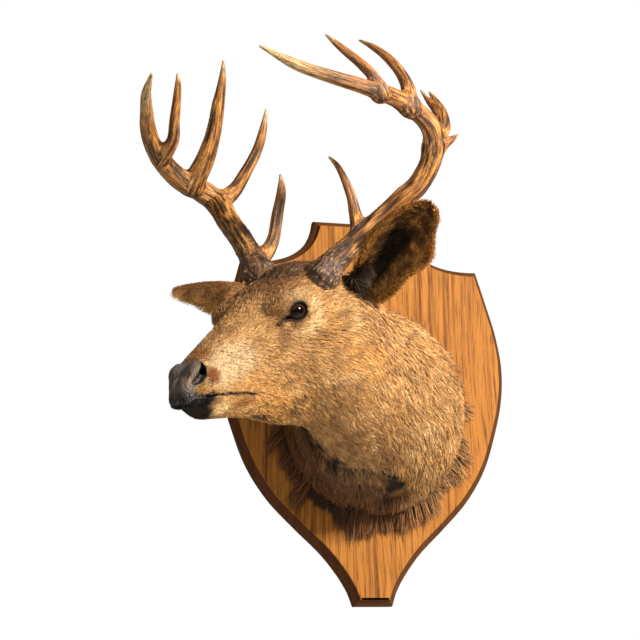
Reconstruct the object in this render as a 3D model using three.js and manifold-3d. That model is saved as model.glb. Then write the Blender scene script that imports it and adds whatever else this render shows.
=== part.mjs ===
// White-tailed deer head and neck mounted on an oak shield, life size, in millimetres.
//
// Frame: +Z up. The back of the shield is the plane y = 0 and the mount stands out towards -Y.
// The origin is the middle of the shield's back. +X is the deer's left.
// The head has its own frame: f forward to the nose, l to the deer's left, u up from the brow line,
// with its origin half-way between the eyes. headPoint() takes it to the row frame.

import * as THREE from 'three';
import { mergeVertices } from 'three/addons/utils/BufferGeometryUtils.js';
import Module from 'manifold-3d';

const wasm = await Module();
wasm.setup();

// ---------------------------------------------------------------- driving dimensions

const GAP = 0.3;

const PLAQUE_THICKNESS = 22;
const PLAQUE_FLAT_TOP_HALF = 68;
const PLAQUE_TOP = 267.5;
const PLAQUE_SHOULDER = 203.5;
const PLAQUE_SCALLOP = [76, 199];
const PLAQUE_SIDE = [
  // height, half width
  [203.5, 174],
  [159.5, 186.5],
  [110, 199.5],
  [60, 206],
  [11, 202],
  [-38, 189],
  [-88, 170.2],
  [-132, 142],
  [-170, 105.8],
  [-203, 71.5],
  [-231, 49],
  [-255, 34.5],
  [-275, 27.2],
];

const HEAD_ORIGIN = new THREE.Vector3(-200.6, -280, 41.6);
const HEAD_YAW = 57;
const HEAD_PITCH = 28.5;
const HEAD_ROLL = -4.8;

// Head sections: f, top, bottom, half width, level of the widest point, upper and lower roundness
const HEAD_SECTIONS = [
  [-118, 16, -112, 56, -34, 2.0, 1.9],
  [-88, 36, -132, 60, -24, 2.1, 1.8],
  [-58, 47, -140, 63, -14, 2.2, 1.7],
  [-30, 50, -141, 65, -6, 2.3, 1.65],
  [0, 46, -136, 63, 2, 2.3, 1.6],
  [25, 38, -127, 56, -2, 2.2, 1.6],
  [50, 30, -116, 47, -12, 2.2, 1.7],
  [75, 23, -102, 41, -20, 2.2, 1.8],
  [100, 16, -90, 37, -26, 2.3, 1.9],
  [128, 8, -80, 33, -27, 2.3, 2.0],
  [150, 1, -73, 31, -26, 2.3, 2.1],
  [168, -5, -67, 28, -25, 2.3, 2.2],
];
const NOSE_ROUND = { from: 162, depth: 20 };
const SKULL_ROUND = { from: -118, depth: 40 };

// Rounded swellings on the head: centre (f, l, u), radii, how softly they blend
const BROW = { centre: [12, 44, 16], radii: [34, 22, 20], blend: 14 };
const CHEEK = { centre: [-42, 40, -62], radii: [50, 30, 52], blend: 22 };
const CROWN = { centre: [-60, 0, 30], radii: [38, 44, 24], blend: 20 };
const UPPER_LIP = { centre: [178, 9, -38], radii: [15, 12, 11], blend: 5 };

// Neck: a bent centre line, and half width and half height along it
const NECK_LINE = [
  new THREE.Vector3(0, 0, -12),
  new THREE.Vector3(0, -100, -24),
  new THREE.Vector3(-62, -180, -6),
  new THREE.Vector3(-128, -238, 28),
];
const NECK_SECTIONS = [
  [0, 136, 148],
  [0.25, 124, 135],
  [0.5, 106, 118],
  [0.75, 84, 100],
  [1, 66, 84],
];
const NECK_BLEND = 40;

const EYE_CENTRE = [10.2, 48.8, 7];
const EYE_RADIUS = 16;
const EYE_OPENING = { centre: [14, 63, 7], radii: [19, 14, 13] };

// Ear: root, tip, direction the cup faces, all in head coordinates
const EAR_LEFT = {
  root: [-118, 56, -16], tip: [-127, 185, 85], faces: [0.76, 0.5, -0.2], wide: 0.9, deep: 0.95,
};
const EAR_RIGHT = {
  root: [-118, -52, -28], tip: [-57, -194, 50], faces: [0.07, -0.46, -0.9], wide: 0.95, deep: 0.85,
};
// share of the length, full width, cup depth
const EAR_SECTIONS = [
  [0, 40, 16],
  [0.12, 54, 22],
  [0.28, 72, 30],
  [0.46, 84, 30],
  [0.62, 84, 26],
  [0.76, 72, 20],
  [0.87, 54, 13],
  [0.95, 33, 7],
  [1, 12, 2],
];
const EAR_THICKNESS = 8;

// Antlers: centre line points (f, l, u) in head coordinates, each with the radius there
const LEFT_BEAM = [
  [-46, 40, 21, 17], [-60, 50, 31, 20.5], [-70, 56, 38, 17], [-80, 63, 45, 15.3], [-99, 76, 55, 13.8],
  [-118, 91, 67, 12.8],
  [-137, 106, 77, 12.6], [-153, 126, 90, 12.8], [-169, 149, 104, 13.1], [-183, 168, 131, 13.4],
  [-186, 175, 157, 12.7], [-178, 174, 179, 11.8], [-151, 165, 208, 11.1], [-101, 163, 233, 9.1],
  [-55, 131, 268, 7.2], [-37, 113, 287, 6.1], [-20, 89, 315, 1.6],
];
const RIGHT_BEAM = [
  [-43, -31, 40, 17], [-54, -43, 50, 20], [-64, -54, 61, 16.5], [-75, -66, 72, 15.2],
  [-89, -82, 82, 14.8], [-103, -98, 92, 14.6],
  [-146, -147, 110, 15], [-179, -186, 135, 15.5], [-163, -196, 159, 15], [-139, -197, 176, 14.4],
  [-117, -196, 200, 13.4], [-96, -189, 230, 11.8], [-78, -173, 256, 10.4], [-61, -150, 280, 8.2],
  [-42, -124, 301, 6.2], [-20, -86, 321, 1.8],
];
const LEFT_TINES = {
  brow_tine: [[-110, 83, 62, 11], [-123, 76, 90, 7.7], [-131, 71, 111, 6], [-137, 64, 133, 4.7],
    [-141, 56, 150, 3.4], [-141, 48, 162, 1.5]],
  second_tine: [[-184, 170, 140, 12], [-205, 172, 152, 10], [-219, 172, 160, 8.3], [-238, 162, 176, 6.2],
    [-252, 149, 190, 4.1], [-263, 136, 202, 1.5]],
  split_tine: [[-212, 170, 156, 5.5], [-222, 165, 167, 4.9], [-234, 156, 179, 4], [-246, 142, 192, 3.1],
    [-258, 128, 207, 1.4]],
  third_tine: [[-159, 172, 194, 12], [-170, 169, 220, 8.1], [-177, 159, 240, 6.6], [-182, 144, 260, 5.5],
    [-183, 128, 276, 4], [-183, 111, 289, 1.5]],
  fourth_tine: [[-113, 168, 222, 11], [-112, 166, 243, 7], [-110, 156, 261, 5.9], [-108, 144, 277, 5.2],
    [-105, 133, 292, 4.1], [-103, 123, 306, 1.4]],
  spur: [[-186, 172, 139, 9], [-201, 187, 143, 4.6], [-208, 195, 147, 1.3]],
};
const RIGHT_TINES = {
  brow_tine: [[-66, -56, 60, 12], [-84, -49, 67, 10], [-100, -42, 82, 8.5], [-114, -39, 105, 7.6],
    [-133, -35, 134, 6], [-142, -36, 154, 1.8]],
  second_tine: [[-180, -186, 132, 13.6], [-202, -170, 143, 10.2], [-220, -154, 164, 8.1],
    [-238, -141, 186, 7.1], [-251, -132, 209, 5.6], [-263, -126, 234, 1.8]],
  third_tine: [[-148, -190, 167, 15], [-159, -161, 201, 11.9], [-168, -144, 230, 9.9],
    [-175, -129, 262, 8.2], [-181, -117, 289, 5.2], [-184, -108, 312, 1.8]],
  fourth_tine: [[-104, -190, 214, 11], [-104, -161, 234, 8.1], [-104, -148, 258, 6.8],
    [-105, -134, 284, 5.3], [-105, -125, 301, 3.8], [-104, -120, 313, 1.5]],
};
// Where each beam is divided, as shares of its point list
const LEFT_CUTS = [0.4, 0.66];
const RIGHT_CUTS = [0.36, 0.6];

const SPINE_RINGS = 38;
const RING_SIDES = 28;

// ---------------------------------------------------------------- materials

function finish(colour, roughness, metalness = 0) {
  return new THREE.MeshStandardMaterial({ color: colour, roughness, metalness });
}

const coat = finish(0xb08a57, 0.9);
const darkCoat = finish(0x8a6a45, 0.9);
const wetNose = finish(0x26221f, 0.45);
const glassEye = finish(0x140d09, 0.06);
const antlerBone = finish(0x7c552f, 0.6);
const oak = finish(0xa8672f, 0.42);

// ---------------------------------------------------------------- small helpers

const rad = THREE.MathUtils.degToRad;

function headAxes() {
  const yaw = rad(HEAD_YAW);
  const pitch = rad(HEAD_PITCH);
  const roll = rad(HEAD_ROLL);
  const f = new THREE.Vector3(
    -Math.sin(yaw) * Math.cos(pitch),
    -Math.cos(yaw) * Math.cos(pitch),
    -Math.sin(pitch),
  );
  const side = new THREE.Vector3(Math.cos(yaw), -Math.sin(yaw), 0);
  const top = new THREE.Vector3().crossVectors(side, f).multiplyScalar(-1);
  if (top.z < 0) top.negate();
  const l = side.clone().multiplyScalar(Math.cos(roll)).addScaledVector(top, Math.sin(roll));
  const u = top.clone().multiplyScalar(Math.cos(roll)).addScaledVector(side, -Math.sin(roll));
  return { f, l, u };
}

const AXES = headAxes();

function headPoint([f, l, u]) {
  return HEAD_ORIGIN.clone()
    .addScaledVector(AXES.f, f)
    .addScaledVector(AXES.l, l)
    .addScaledVector(AXES.u, u);
}

function headDirection([f, l, u]) {
  return headPoint([f, l, u]).sub(HEAD_ORIGIN).normalize();
}

function toHead(p) {
  const d = p.clone().sub(HEAD_ORIGIN);
  return [d.dot(AXES.f), d.dot(AXES.l), d.dot(AXES.u)];
}

// Value of column c of a table at x, along a smooth curve through its rows
function tableAt(table, x, c) {
  const last = table.length - 1;
  if (x <= table[0][0]) return table[0][c];
  if (x >= table[last][0]) return table[last][c];
  let i = 0;
  while (table[i + 1][0] < x) i += 1;
  const slope = (k) => {
    const a = Math.max(k - 1, 0);
    const b = Math.min(k + 1, last);
    return (table[b][c] - table[a][c]) / (table[b][0] - table[a][0]);
  };
  const h = table[i + 1][0] - table[i][0];
  const t = (x - table[i][0]) / h;
  const t2 = t * t;
  const t3 = t2 * t;
  return (2 * t3 - 3 * t2 + 1) * table[i][c] + (t3 - 2 * t2 + t) * h * slope(i)
    + (3 * t2 - 2 * t3) * table[i + 1][c] + (t3 - t2) * h * slope(i + 1);
}

// ---------------------------------------------------------------- the body's surface as a field

function softMin(a, b, k) {
  const h = THREE.MathUtils.clamp(0.5 + (0.5 * (b - a)) / k, 0, 1);
  return b * (1 - h) + a * h - k * h * (1 - h);
}

function ellipsoid([f, l, u], { centre, radii }) {
  const q = [(f - centre[0]) / radii[0], (l - centre[1]) / radii[1], (u - centre[2]) / radii[2]];
  const k0 = Math.hypot(...q) + 1e-9;
  const k1 = Math.hypot(q[0] / radii[0], q[1] / radii[1], q[2] / radii[2]) + 1e-9;
  return (k0 * (k0 - 1)) / k1;
}

function headField([f, l, u]) {
  const [, top, bottom, half, level, upper, lower] = HEAD_SECTIONS[0].map(
    (_, c) => (c === 0 ? 0 : tableAt(HEAD_SECTIONS, f, c)),
  );
  const above = u > level;
  const height = above ? top - level : level - bottom;
  const p = above ? upper : lower;
  const round = f > 0 ? NOSE_ROUND : SKULL_ROUND;
  const past = Math.max(0, f > 0 ? f - round.from : round.from - f);
  const rho = (Math.abs(l / half) ** p + Math.abs((u - level) / height) ** p
    + (past / round.depth) ** 2.2) ** (1 / p);
  const r = Math.hypot(l, u - level, past) + 1e-6;
  return r * (1 - 1 / Math.max(rho, 1e-3));
}

const neckCurve = new THREE.CubicBezierCurve3(...NECK_LINE);
const neckFrames = [];
for (let i = 0; i <= 60; i += 1) {
  const t = i / 60;
  const point = neckCurve.getPoint(t);
  const along = neckCurve.getTangent(t);
  const side = new THREE.Vector3().crossVectors(along, new THREE.Vector3(0, 0, 1)).normalize();
  const up = new THREE.Vector3().crossVectors(side, along);
  neckFrames.push({ t, point, along, side, up });
}

function neckField(p) {
  let best = neckFrames[0];
  let bestDistance = Infinity;
  for (const frame of neckFrames) {
    const d = frame.point.distanceToSquared(p);
    if (d < bestDistance) {
      bestDistance = d;
      best = frame;
    }
  }
  const d = p.clone().sub(best.point);
  const t = THREE.MathUtils.clamp(best.t + d.dot(best.along) / neckCurve.getLength(), 0, 1);
  const a = tableAt(NECK_SECTIONS, t, 1);
  const b = tableAt(NECK_SECTIONS, t, 2);
  const s = d.dot(best.side);
  const v = d.dot(best.up);
  const beyond = t >= 1 ? Math.max(0, d.dot(best.along)) : 0;
  const rho = Math.hypot(s / a, v / b, beyond / 60);
  const r = Math.hypot(s, v, beyond) + 1e-6;
  return r * (1 - 1 / Math.max(rho, 1e-3));
}

function bodyField(p) {
  const [f, l, u] = toHead(p);
  const folded = [f, Math.abs(l), u];
  let d = headField([f, l, u]);
  d = softMin(d, ellipsoid(folded, BROW), BROW.blend);
  d = softMin(d, ellipsoid(folded, CHEEK), CHEEK.blend);
  d = softMin(d, ellipsoid([f, l, u], CROWN), CROWN.blend);
  d = softMin(d, ellipsoid(folded, UPPER_LIP), UPPER_LIP.blend);
  return softMin(d, neckField(p), NECK_BLEND);
}

// ---------------------------------------------------------------- solids

function toSolid(geometry) {
  const bare = geometry.clone();
  bare.deleteAttribute('normal');
  bare.deleteAttribute('uv');
  const merged = mergeVertices(bare, 1e-3);
  const solid = new wasm.Manifold(new wasm.Mesh({
    numProp: 3,
    vertProperties: new Float32Array(merged.attributes.position.array),
    triVerts: new Uint32Array(merged.index.array),
  }));
  return solid;
}

// The cuts leave slivers far thinner than a hair; they are merged away before the mesh is made
const SLIVER = 0.04;

function toGeometry(solid) {
  const mesh = solid.simplify(SLIVER).getMesh();
  const geometry = new THREE.BufferGeometry();
  const positions = new Float32Array((mesh.vertProperties.length / mesh.numProp) * 3);
  for (let i = 0; i < positions.length / 3; i += 1) {
    for (let k = 0; k < 3; k += 1) positions[3 * i + k] = mesh.vertProperties[mesh.numProp * i + k];
  }
  geometry.setAttribute('position', new THREE.BufferAttribute(positions, 3));
  geometry.setIndex(new THREE.BufferAttribute(new Uint32Array(mesh.triVerts), 1));
  geometry.computeVertexNormals();
  return geometry;
}

// A closed body through rings of points, each end closed by a fan to its middle or to a given point
function loft(rings, startPoint, endPoint) {
  const sides = rings[0].length;
  const points = rings.flat();
  const middle = (ring) => ring.reduce((sum, p) => sum.add(p), new THREE.Vector3())
    .divideScalar(ring.length);
  const first = points.push(startPoint ?? middle(rings[0])) - 1;
  const last = points.push(endPoint ?? middle(rings[rings.length - 1])) - 1;
  const index = [];
  for (let i = 0; i + 1 < rings.length; i += 1) {
    for (let j = 0; j < sides; j += 1) {
      const a = i * sides + j;
      const b = i * sides + ((j + 1) % sides);
      index.push(a, b, a + sides, b, b + sides, a + sides);
    }
  }
  const end = (rings.length - 1) * sides;
  for (let j = 0; j < sides; j += 1) {
    const k = (j + 1) % sides;
    index.push(first, k, j);
    index.push(last, end + j, end + k);
  }
  const geometry = new THREE.BufferGeometry().setFromPoints(points);
  let volume = 0;
  for (let i = 0; i < index.length; i += 3) {
    const [a, b, c] = [points[index[i]], points[index[i + 1]], points[index[i + 2]]];
    volume += a.dot(new THREE.Vector3().crossVectors(b, c));
  }
  if (volume < 0) index.reverse();
  geometry.setIndex(index);
  geometry.computeVertexNormals();
  return geometry;
}

// ---------------------------------------------------------------- the whole body, neck to nose

const spine = new THREE.CatmullRomCurve3([
  new THREE.Vector3(0, -PLAQUE_THICKNESS - GAP, -12),
  new THREE.Vector3(-1, -70, -16),
  new THREE.Vector3(-14, -118, -17),
  new THREE.Vector3(-50, -172, -8),
  headPoint([-96, 0, -50]),
  headPoint([-48, 0, -48]),
  headPoint([0, 0, -46]),
  headPoint([50, 0, -44]),
  headPoint([100, 0, -38]),
  headPoint([150, 0, -34]),
  headPoint([NOSE_ROUND.from + NOSE_ROUND.depth, 0, -31]),
], false, 'centripetal');

// The rings turn evenly from facing the board to facing along the head, so that they never cross
// on the throat, where the bend is tightest
const HEAD_STRAIGHT_FROM = 0.62;
function ringDirection(t) {
  const outward = new THREE.Vector3(0, -1, 0);
  const forward = headDirection([1, 0, 0]);
  const turned = Math.min(1, t / HEAD_STRAIGHT_FROM);
  const angle = outward.angleTo(forward) * turned ** 1.15;
  const axis = new THREE.Vector3().crossVectors(outward, forward).normalize();
  return outward.applyAxisAngle(axis, angle);
}

function bodyRings(grow) {
  const rings = [];
  const upright = new THREE.Vector3(0, 0, 1);
  for (let i = 0; i < SPINE_RINGS; i += 1) {
    const even = i / (SPINE_RINGS - 1);
    const share = 1 - (1 - even) ** 1.25;
    const t = Math.min(share, 0.9965);
    const centre = spine.getPointAt(t);
    const along = ringDirection(t);
    const side = new THREE.Vector3().crossVectors(along, upright).normalize();
    const up = new THREE.Vector3().crossVectors(side, along);
    const ring = [];
    for (let j = 0; j < RING_SIDES; j += 1) {
      const angle = (2 * Math.PI * j) / RING_SIDES;
      const ray = side.clone().multiplyScalar(Math.cos(angle)).addScaledVector(up, Math.sin(angle));
      let low = 0.5;
      let high = 6;
      while (bodyField(centre.clone().addScaledVector(ray, high)) < 0 && high < 240) {
        low = high;
        high += 6;
      }
      for (let k = 0; k < 12; k += 1) {
        const mid = (low + high) / 2;
        if (bodyField(centre.clone().addScaledVector(ray, mid)) < 0) low = mid;
        else high = mid;
      }
      ring.push(centre.clone().addScaledVector(ray, high + grow));
    }
    rings.push(ring);
  }
  return rings;
}

const wholeBody = toSolid(loft(bodyRings(0)));
const wholeBodyGrown = toSolid(loft(bodyRings(GAP + 0.1)));

// A block standing across the head, from its outline in the (f, u) plane
function acrossHead(outline, halfWidth = 90) {
  const shape = new THREE.Shape(outline.map(([f, u]) => new THREE.Vector2(f, u)));
  const block = new THREE.ExtrudeGeometry(shape, { depth: 2 * halfWidth, bevelEnabled: false });
  const positions = block.attributes.position;
  for (let i = 0; i < positions.count; i += 1) {
    const p = headPoint([positions.getX(i), positions.getZ(i) - halfWidth, positions.getY(i)]);
    positions.setXYZ(i, p.x, p.y, p.z);
  }
  return toSolid(orient(block));
}

function orient(geometry) {
  const bare = geometry.clone();
  bare.deleteAttribute('normal');
  bare.deleteAttribute('uv');
  const merged = mergeVertices(bare, 1e-3);
  const p = merged.attributes.position;
  const index = [...merged.index.array];
  let volume = 0;
  const at = (i) => new THREE.Vector3().fromBufferAttribute(p, i);
  for (let i = 0; i < index.length; i += 3) {
    volume += at(index[i]).dot(at(index[i + 1]).cross(at(index[i + 2])));
  }
  if (volume < 0) index.reverse();
  merged.setIndex(index);
  return merged;
}

const MOUTH_CORNER = [94, -64];
const MOUTH_FRONT = [172, -43];
// The chin stands back under the upper lip
const jawBlock = acrossHead([
  [66, -150], [66, -74], MOUTH_CORNER, MOUTH_FRONT, [177, -50], [172, -64], [163, -82], [160, -150],
]);
const jawBlockGrown = acrossHead([
  [65.6, -150], [65.6, -73.6], [93.8, -63.5], [172, -42.4], [178, -51], [206, -51], [206, -150],
]);
const noseBlock = acrossHead([[160, 30], [160, -12], [168, -44], [205, -60], [205, 30]]);
const noseBlockGrown = acrossHead([[159.6, 30], [159.6, -12.1], [167.7, -45], [206, -61], [206, 30]]);

// Everything behind the head: the slab between the board and the plane where the neck ends
const neckEnd = headPoint([-112, 0, -60]);
const neckAlong = headDirection([0.86, 0.5, 0.1]);
function neckSlab(grow) {
  const box = new THREE.BoxGeometry(520, 520, 400);
  box.translate(0, 0, -200);
  const turn = new THREE.Quaternion().setFromUnitVectors(new THREE.Vector3(0, 0, 1), neckAlong);
  box.applyQuaternion(turn);
  const at = neckEnd.clone().addScaledVector(neckAlong, grow);
  box.translate(at.x, at.y, at.z);
  return toSolid(box);
}

// ---------------------------------------------------------------- antlers

function smoothRow(rows, t) {
  const place = THREE.MathUtils.clamp(t, 0, 1) * (rows.length - 1);
  const table = rows.map((row, i) => [i, ...row]);
  return [1, 2, 3, 4].map((c) => tableAt(table, place, c));
}

// A tapering round branch along its rows, between two shares of its length
function branch(rows, { from = 0, to = 1, sides = 10, rings = 9, grow = 0 } = {}) {
  const list = [];
  let side = null;
  for (let i = 0; i < rings; i += 1) {
    const t = from + ((to - from) * i) / (rings - 1);
    const row = smoothRow(rows, t);
    const ahead = headPoint(smoothRow(rows, Math.min(t + 0.01, 1)));
    const behind = headPoint(smoothRow(rows, Math.max(t - 0.01, 0)));
    const along = ahead.sub(behind).normalize();
    if (side === null) side = new THREE.Vector3().crossVectors(along, AXES.u).normalize();
    side = side.clone().addScaledVector(along, -side.dot(along)).normalize();
    const up = new THREE.Vector3().crossVectors(along, side);
    const centre = headPoint(row);
    if (i === 0) centre.addScaledVector(along, -grow);
    const ring = [];
    for (let j = 0; j < sides; j += 1) {
      const angle = (2 * Math.PI * j) / sides;
      ring.push(centre.clone()
        .addScaledVector(side, Math.cos(angle) * (row[3] + grow))
        .addScaledVector(up, Math.sin(angle) * (row[3] + grow)));
    }
    list.push(ring);
  }
  return toSolid(loft(list));
}

function antler(name, beamRows, cuts, tines) {
  const pieces = {};
  const slack = 0.0006;
  const spans = [
    { from: 0.004, to: cuts[0] - slack, rings: 12, sides: 10 },
    { from: cuts[0] + slack, to: cuts[1] - slack, rings: 8, sides: 10 },
    { from: cuts[1] + slack, rings: 9, sides: 10 },
  ];
  const [lower, middle, end] = spans.map((span) => branch(beamRows, span));
  const [lowerGrown, middleGrown, endGrown] = spans.map((span) => branch(
    beamRows,
    { ...span, grow: 2 * GAP },
  ));
  const beamGrown = lowerGrown.add(middleGrown).add(endGrown);
  pieces[`${name}_beam_lower`] = lower;
  pieces[`${name}_beam_middle`] = middle;
  pieces[`${name}_beam_end`] = end;
  for (const [tine, rows] of Object.entries(tines)) {
    let solid = branch(rows, { rings: 7, sides: 8 }).subtract(beamGrown);
    if (tine === 'split_tine' || tine === 'spur') {
      solid = solid.subtract(branch(tines.second_tine, { rings: 7, sides: 8, grow: 2 * GAP }));
    }
    pieces[`${name}_${tine}`] = largest(solid);
  }
  pieces.beamGrown = beamGrown;
  pieces.rootGrown = lowerGrown;
  pieces.browGrown = branch(tines.brow_tine, { rings: 7, sides: 8, grow: 2 * GAP });
  return pieces;
}

// A cut can leave a sliver beside the piece: the piece is the largest part
function largest(solid) {
  return solid.decompose().sort((a, b) => b.volume() - a.volume())[0];
}

// ---------------------------------------------------------------- ears

function ear({ root, tip, faces, wide, deep }) {
  const start = headPoint(root);
  const along = headPoint(tip).sub(start);
  const length = along.length();
  along.normalize();
  const out = headDirection(faces);
  out.addScaledVector(along, -out.dot(along)).normalize();
  const across = new THREE.Vector3().crossVectors(along, out);
  const rings = [];
  const steps = 8;
  for (let i = 0; i <= 11; i += 1) {
    const s = i / 11;
    const width = tableAt(EAR_SECTIONS, s, 1) * wide;
    const depth = tableAt(EAR_SECTIONS, s, 2) * deep;
    const at = (x, lift) => start.clone()
      .addScaledVector(along, s * length)
      .addScaledVector(across, (x * width) / 2)
      .addScaledVector(out, lift);
    const ring = [];
    for (let j = 0; j <= steps; j += 1) {
      const x = -1 + (2 * j) / steps;
      ring.push(at(x, -depth * (1 - x * x) ** 0.8));
    }
    for (let j = steps; j >= 0; j -= 1) {
      const x = (-1 + (2 * j) / steps) * 0.97;
      const wall = Math.min(2 + (EAR_THICKNESS - 2) * (1 - x * x), 0.2 * width + 1);
      ring.push(at(x, wall - depth * (1 - x * x) ** 0.8));
    }
    rings.push(ring);
  }
  return toSolid(loft(rings));
}

// ---------------------------------------------------------------- the shield

function plaqueOutline() {
  const right = [];
  right.push([PLAQUE_FLAT_TOP_HALF, PLAQUE_TOP]);
  const [cx, cz] = PLAQUE_SCALLOP;
  const [shoulder] = PLAQUE_SIDE;
  for (let i = 1; i <= 5; i += 1) {
    const t = i / 6;
    const a = (1 - t) ** 2;
    const b = 2 * t * (1 - t);
    const c = t * t;
    right.push([
      a * PLAQUE_FLAT_TOP_HALF + b * cx + c * shoulder[1],
      a * PLAQUE_TOP + b * cz + c * PLAQUE_SHOULDER,
    ]);
  }
  const heights = PLAQUE_SIDE.map(([z, half]) => [-z, half]);
  const steps = 19;
  for (let i = 0; i <= steps; i += 1) {
    const z = PLAQUE_SHOULDER + ((PLAQUE_SIDE[PLAQUE_SIDE.length - 1][0] - PLAQUE_SHOULDER) * i) / steps;
    right.push([tableAt(heights, -z, 1), z]);
  }
  const left = right.slice().reverse().map(([x, z]) => [-x, z]);
  return [...right, ...left].map(([x, z]) => new THREE.Vector2(x, z));
}

function inset(outline, distance) {
  const n = outline.length;
  return outline.map((p, i) => {
    const before = p.clone().sub(outline[(i + n - 1) % n]).normalize();
    const after = outline[(i + 1) % n].clone().sub(p).normalize();
    const a = new THREE.Vector2(before.y, -before.x);
    const b = new THREE.Vector2(after.y, -after.x);
    const sum = a.clone().add(b);
    return p.clone().addScaledVector(sum, distance / Math.max(0.6, 1 + a.dot(b)));
  });
}

function plaque() {
  const outline = plaqueOutline();
  const profile = [
    // depth from the wall, inset
    [0, 1.2],
    [1.2, 0],
    [10, 0],
    [13.5, 3],
    [18, 8.2],
    [20.6, 9.2],
    [PLAQUE_THICKNESS, 9.2],
  ];
  const rings = profile.map(([depth, amount]) => inset(outline, amount)
    .map((p) => new THREE.Vector3(p.x, -depth, p.y)));
  const sides = outline.length;
  const points = rings.flat();
  const index = [];
  for (let i = 0; i + 1 < rings.length; i += 1) {
    for (let j = 0; j < sides; j += 1) {
      const a = i * sides + j;
      const b = i * sides + ((j + 1) % sides);
      index.push(a, a + sides, b, b, a + sides, b + sides);
    }
  }
  const caps = [[0, 0], [rings.length - 1, 1]];
  for (const [ring, flip] of caps) {
    const flat = rings[ring].map((p) => new THREE.Vector2(p.x, p.z));
    for (const [a, b, c] of THREE.ShapeUtils.triangulateShape(flat, [])) {
      const [i, j, k] = [a, b, c].map((v) => v + ring * sides);
      if (flip) index.push(i, j, k);
      else index.push(i, k, j);
    }
  }
  const geometry = new THREE.BufferGeometry().setFromPoints(points);
  geometry.setIndex(index);
  return orient(geometry);
}

// ---------------------------------------------------------------- putting it together

const group = new THREE.Group();

function add(name, geometry, material) {
  const mesh = new THREE.Mesh(geometry, material.clone());
  mesh.name = name;
  group.add(mesh);
}

function mirrored([f, l, u], side) {
  return [f, l * side, u];
}

function sphereAt(centre, radii, detail = 20) {
  const sphere = new THREE.SphereGeometry(1, detail, Math.round(detail * 0.6));
  const positions = sphere.attributes.position;
  for (let i = 0; i < positions.count; i += 1) {
    const p = headPoint([
      centre[0] + positions.getX(i) * radii[0],
      centre[1] + positions.getZ(i) * radii[1],
      centre[2] + positions.getY(i) * radii[2],
    ]);
    positions.setXYZ(i, p.x, p.y, p.z);
  }
  return toSolid(orient(sphere));
}

const leftAntler = antler('antler_left', LEFT_BEAM, LEFT_CUTS, LEFT_TINES);
const rightAntler = antler('antler_right', RIGHT_BEAM, RIGHT_CUTS, RIGHT_TINES);

let head = wholeBody;
for (const { rootGrown, browGrown } of [leftAntler, rightAntler]) {
  head = head.subtract(rootGrown).subtract(browGrown);
}
for (const side of [1, -1]) {
  const centre = mirrored(EYE_CENTRE, side);
  const size = EYE_RADIUS + GAP;
  head = head.subtract(sphereAt(centre, [size, size, size]));
  head = head.subtract(sphereAt(mirrored(EYE_OPENING.centre, side), EYE_OPENING.radii, 16));
}
const neck = largest(head.intersect(neckSlab(-GAP / 2)));
head = head.subtract(neckSlab(GAP / 2));
const lowerJaw = largest(head.intersect(jawBlock));
head = head.subtract(jawBlockGrown);
const nose = largest(head.intersect(noseBlock));
head = largest(head.subtract(noseBlockGrown));

add('plaque', plaque(), oak);
add('neck', toGeometry(neck), coat);
add('head', toGeometry(head), coat);
add('lower_jaw', toGeometry(lowerJaw), darkCoat);
add('nose', toGeometry(nose), wetNose);
for (const [side, sign, shape] of [['left', 1, EAR_LEFT], ['right', -1, EAR_RIGHT]]) {
  const beams = sign > 0 ? leftAntler : rightAntler;
  const earSolid = ear(shape).subtract(wholeBodyGrown).subtract(beams.beamGrown);
  add(`ear_${side}`, toGeometry(largest(earSolid)), darkCoat);
  const radii = [EYE_RADIUS, EYE_RADIUS, EYE_RADIUS];
  add(`eye_${side}`, toGeometry(sphereAt(mirrored(EYE_CENTRE, sign), radii, 16)), glassEye);
}
for (const pieces of [leftAntler, rightAntler]) {
  for (const [name, solid] of Object.entries(pieces)) {
    if (name.startsWith('antler')) add(name, toGeometry(solid), antlerBone);
  }
}

export default group;
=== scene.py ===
"""A white-tailed deer's head and neck mounted on an oak shield.

Lengths inside this script are millimetres in the row frame (the board's back is y = 0, +Z is up, the
deer's left is +X), and are turned to metres when a mesh is made. The head has its own axes, with
f forward to the nose, l to the deer's left and u up from the brow line.
"""

import math

import bpy
import numpy as np
from mathutils import Matrix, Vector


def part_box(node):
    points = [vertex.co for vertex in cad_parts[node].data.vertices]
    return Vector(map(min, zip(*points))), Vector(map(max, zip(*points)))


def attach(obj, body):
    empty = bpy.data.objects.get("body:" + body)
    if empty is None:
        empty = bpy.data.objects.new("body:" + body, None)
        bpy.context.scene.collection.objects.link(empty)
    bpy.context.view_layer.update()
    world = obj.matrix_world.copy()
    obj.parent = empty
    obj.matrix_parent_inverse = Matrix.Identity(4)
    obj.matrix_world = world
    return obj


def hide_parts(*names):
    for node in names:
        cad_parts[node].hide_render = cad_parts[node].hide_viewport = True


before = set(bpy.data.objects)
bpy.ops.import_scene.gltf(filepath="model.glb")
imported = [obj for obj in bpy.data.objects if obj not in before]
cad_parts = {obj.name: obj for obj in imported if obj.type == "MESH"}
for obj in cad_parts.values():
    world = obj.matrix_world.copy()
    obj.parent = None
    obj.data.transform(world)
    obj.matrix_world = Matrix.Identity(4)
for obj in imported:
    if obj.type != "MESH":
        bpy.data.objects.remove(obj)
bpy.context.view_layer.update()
RNG = np.random.default_rng(7)
MM = 0.001

# ------------------------------------------------------------------ sizes shared with the solids

HEAD_ORIGIN = np.array([-200.6, -280.0, 41.6])
HEAD_YAW, HEAD_PITCH, HEAD_ROLL = 57.0, 28.5, -4.8

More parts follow.
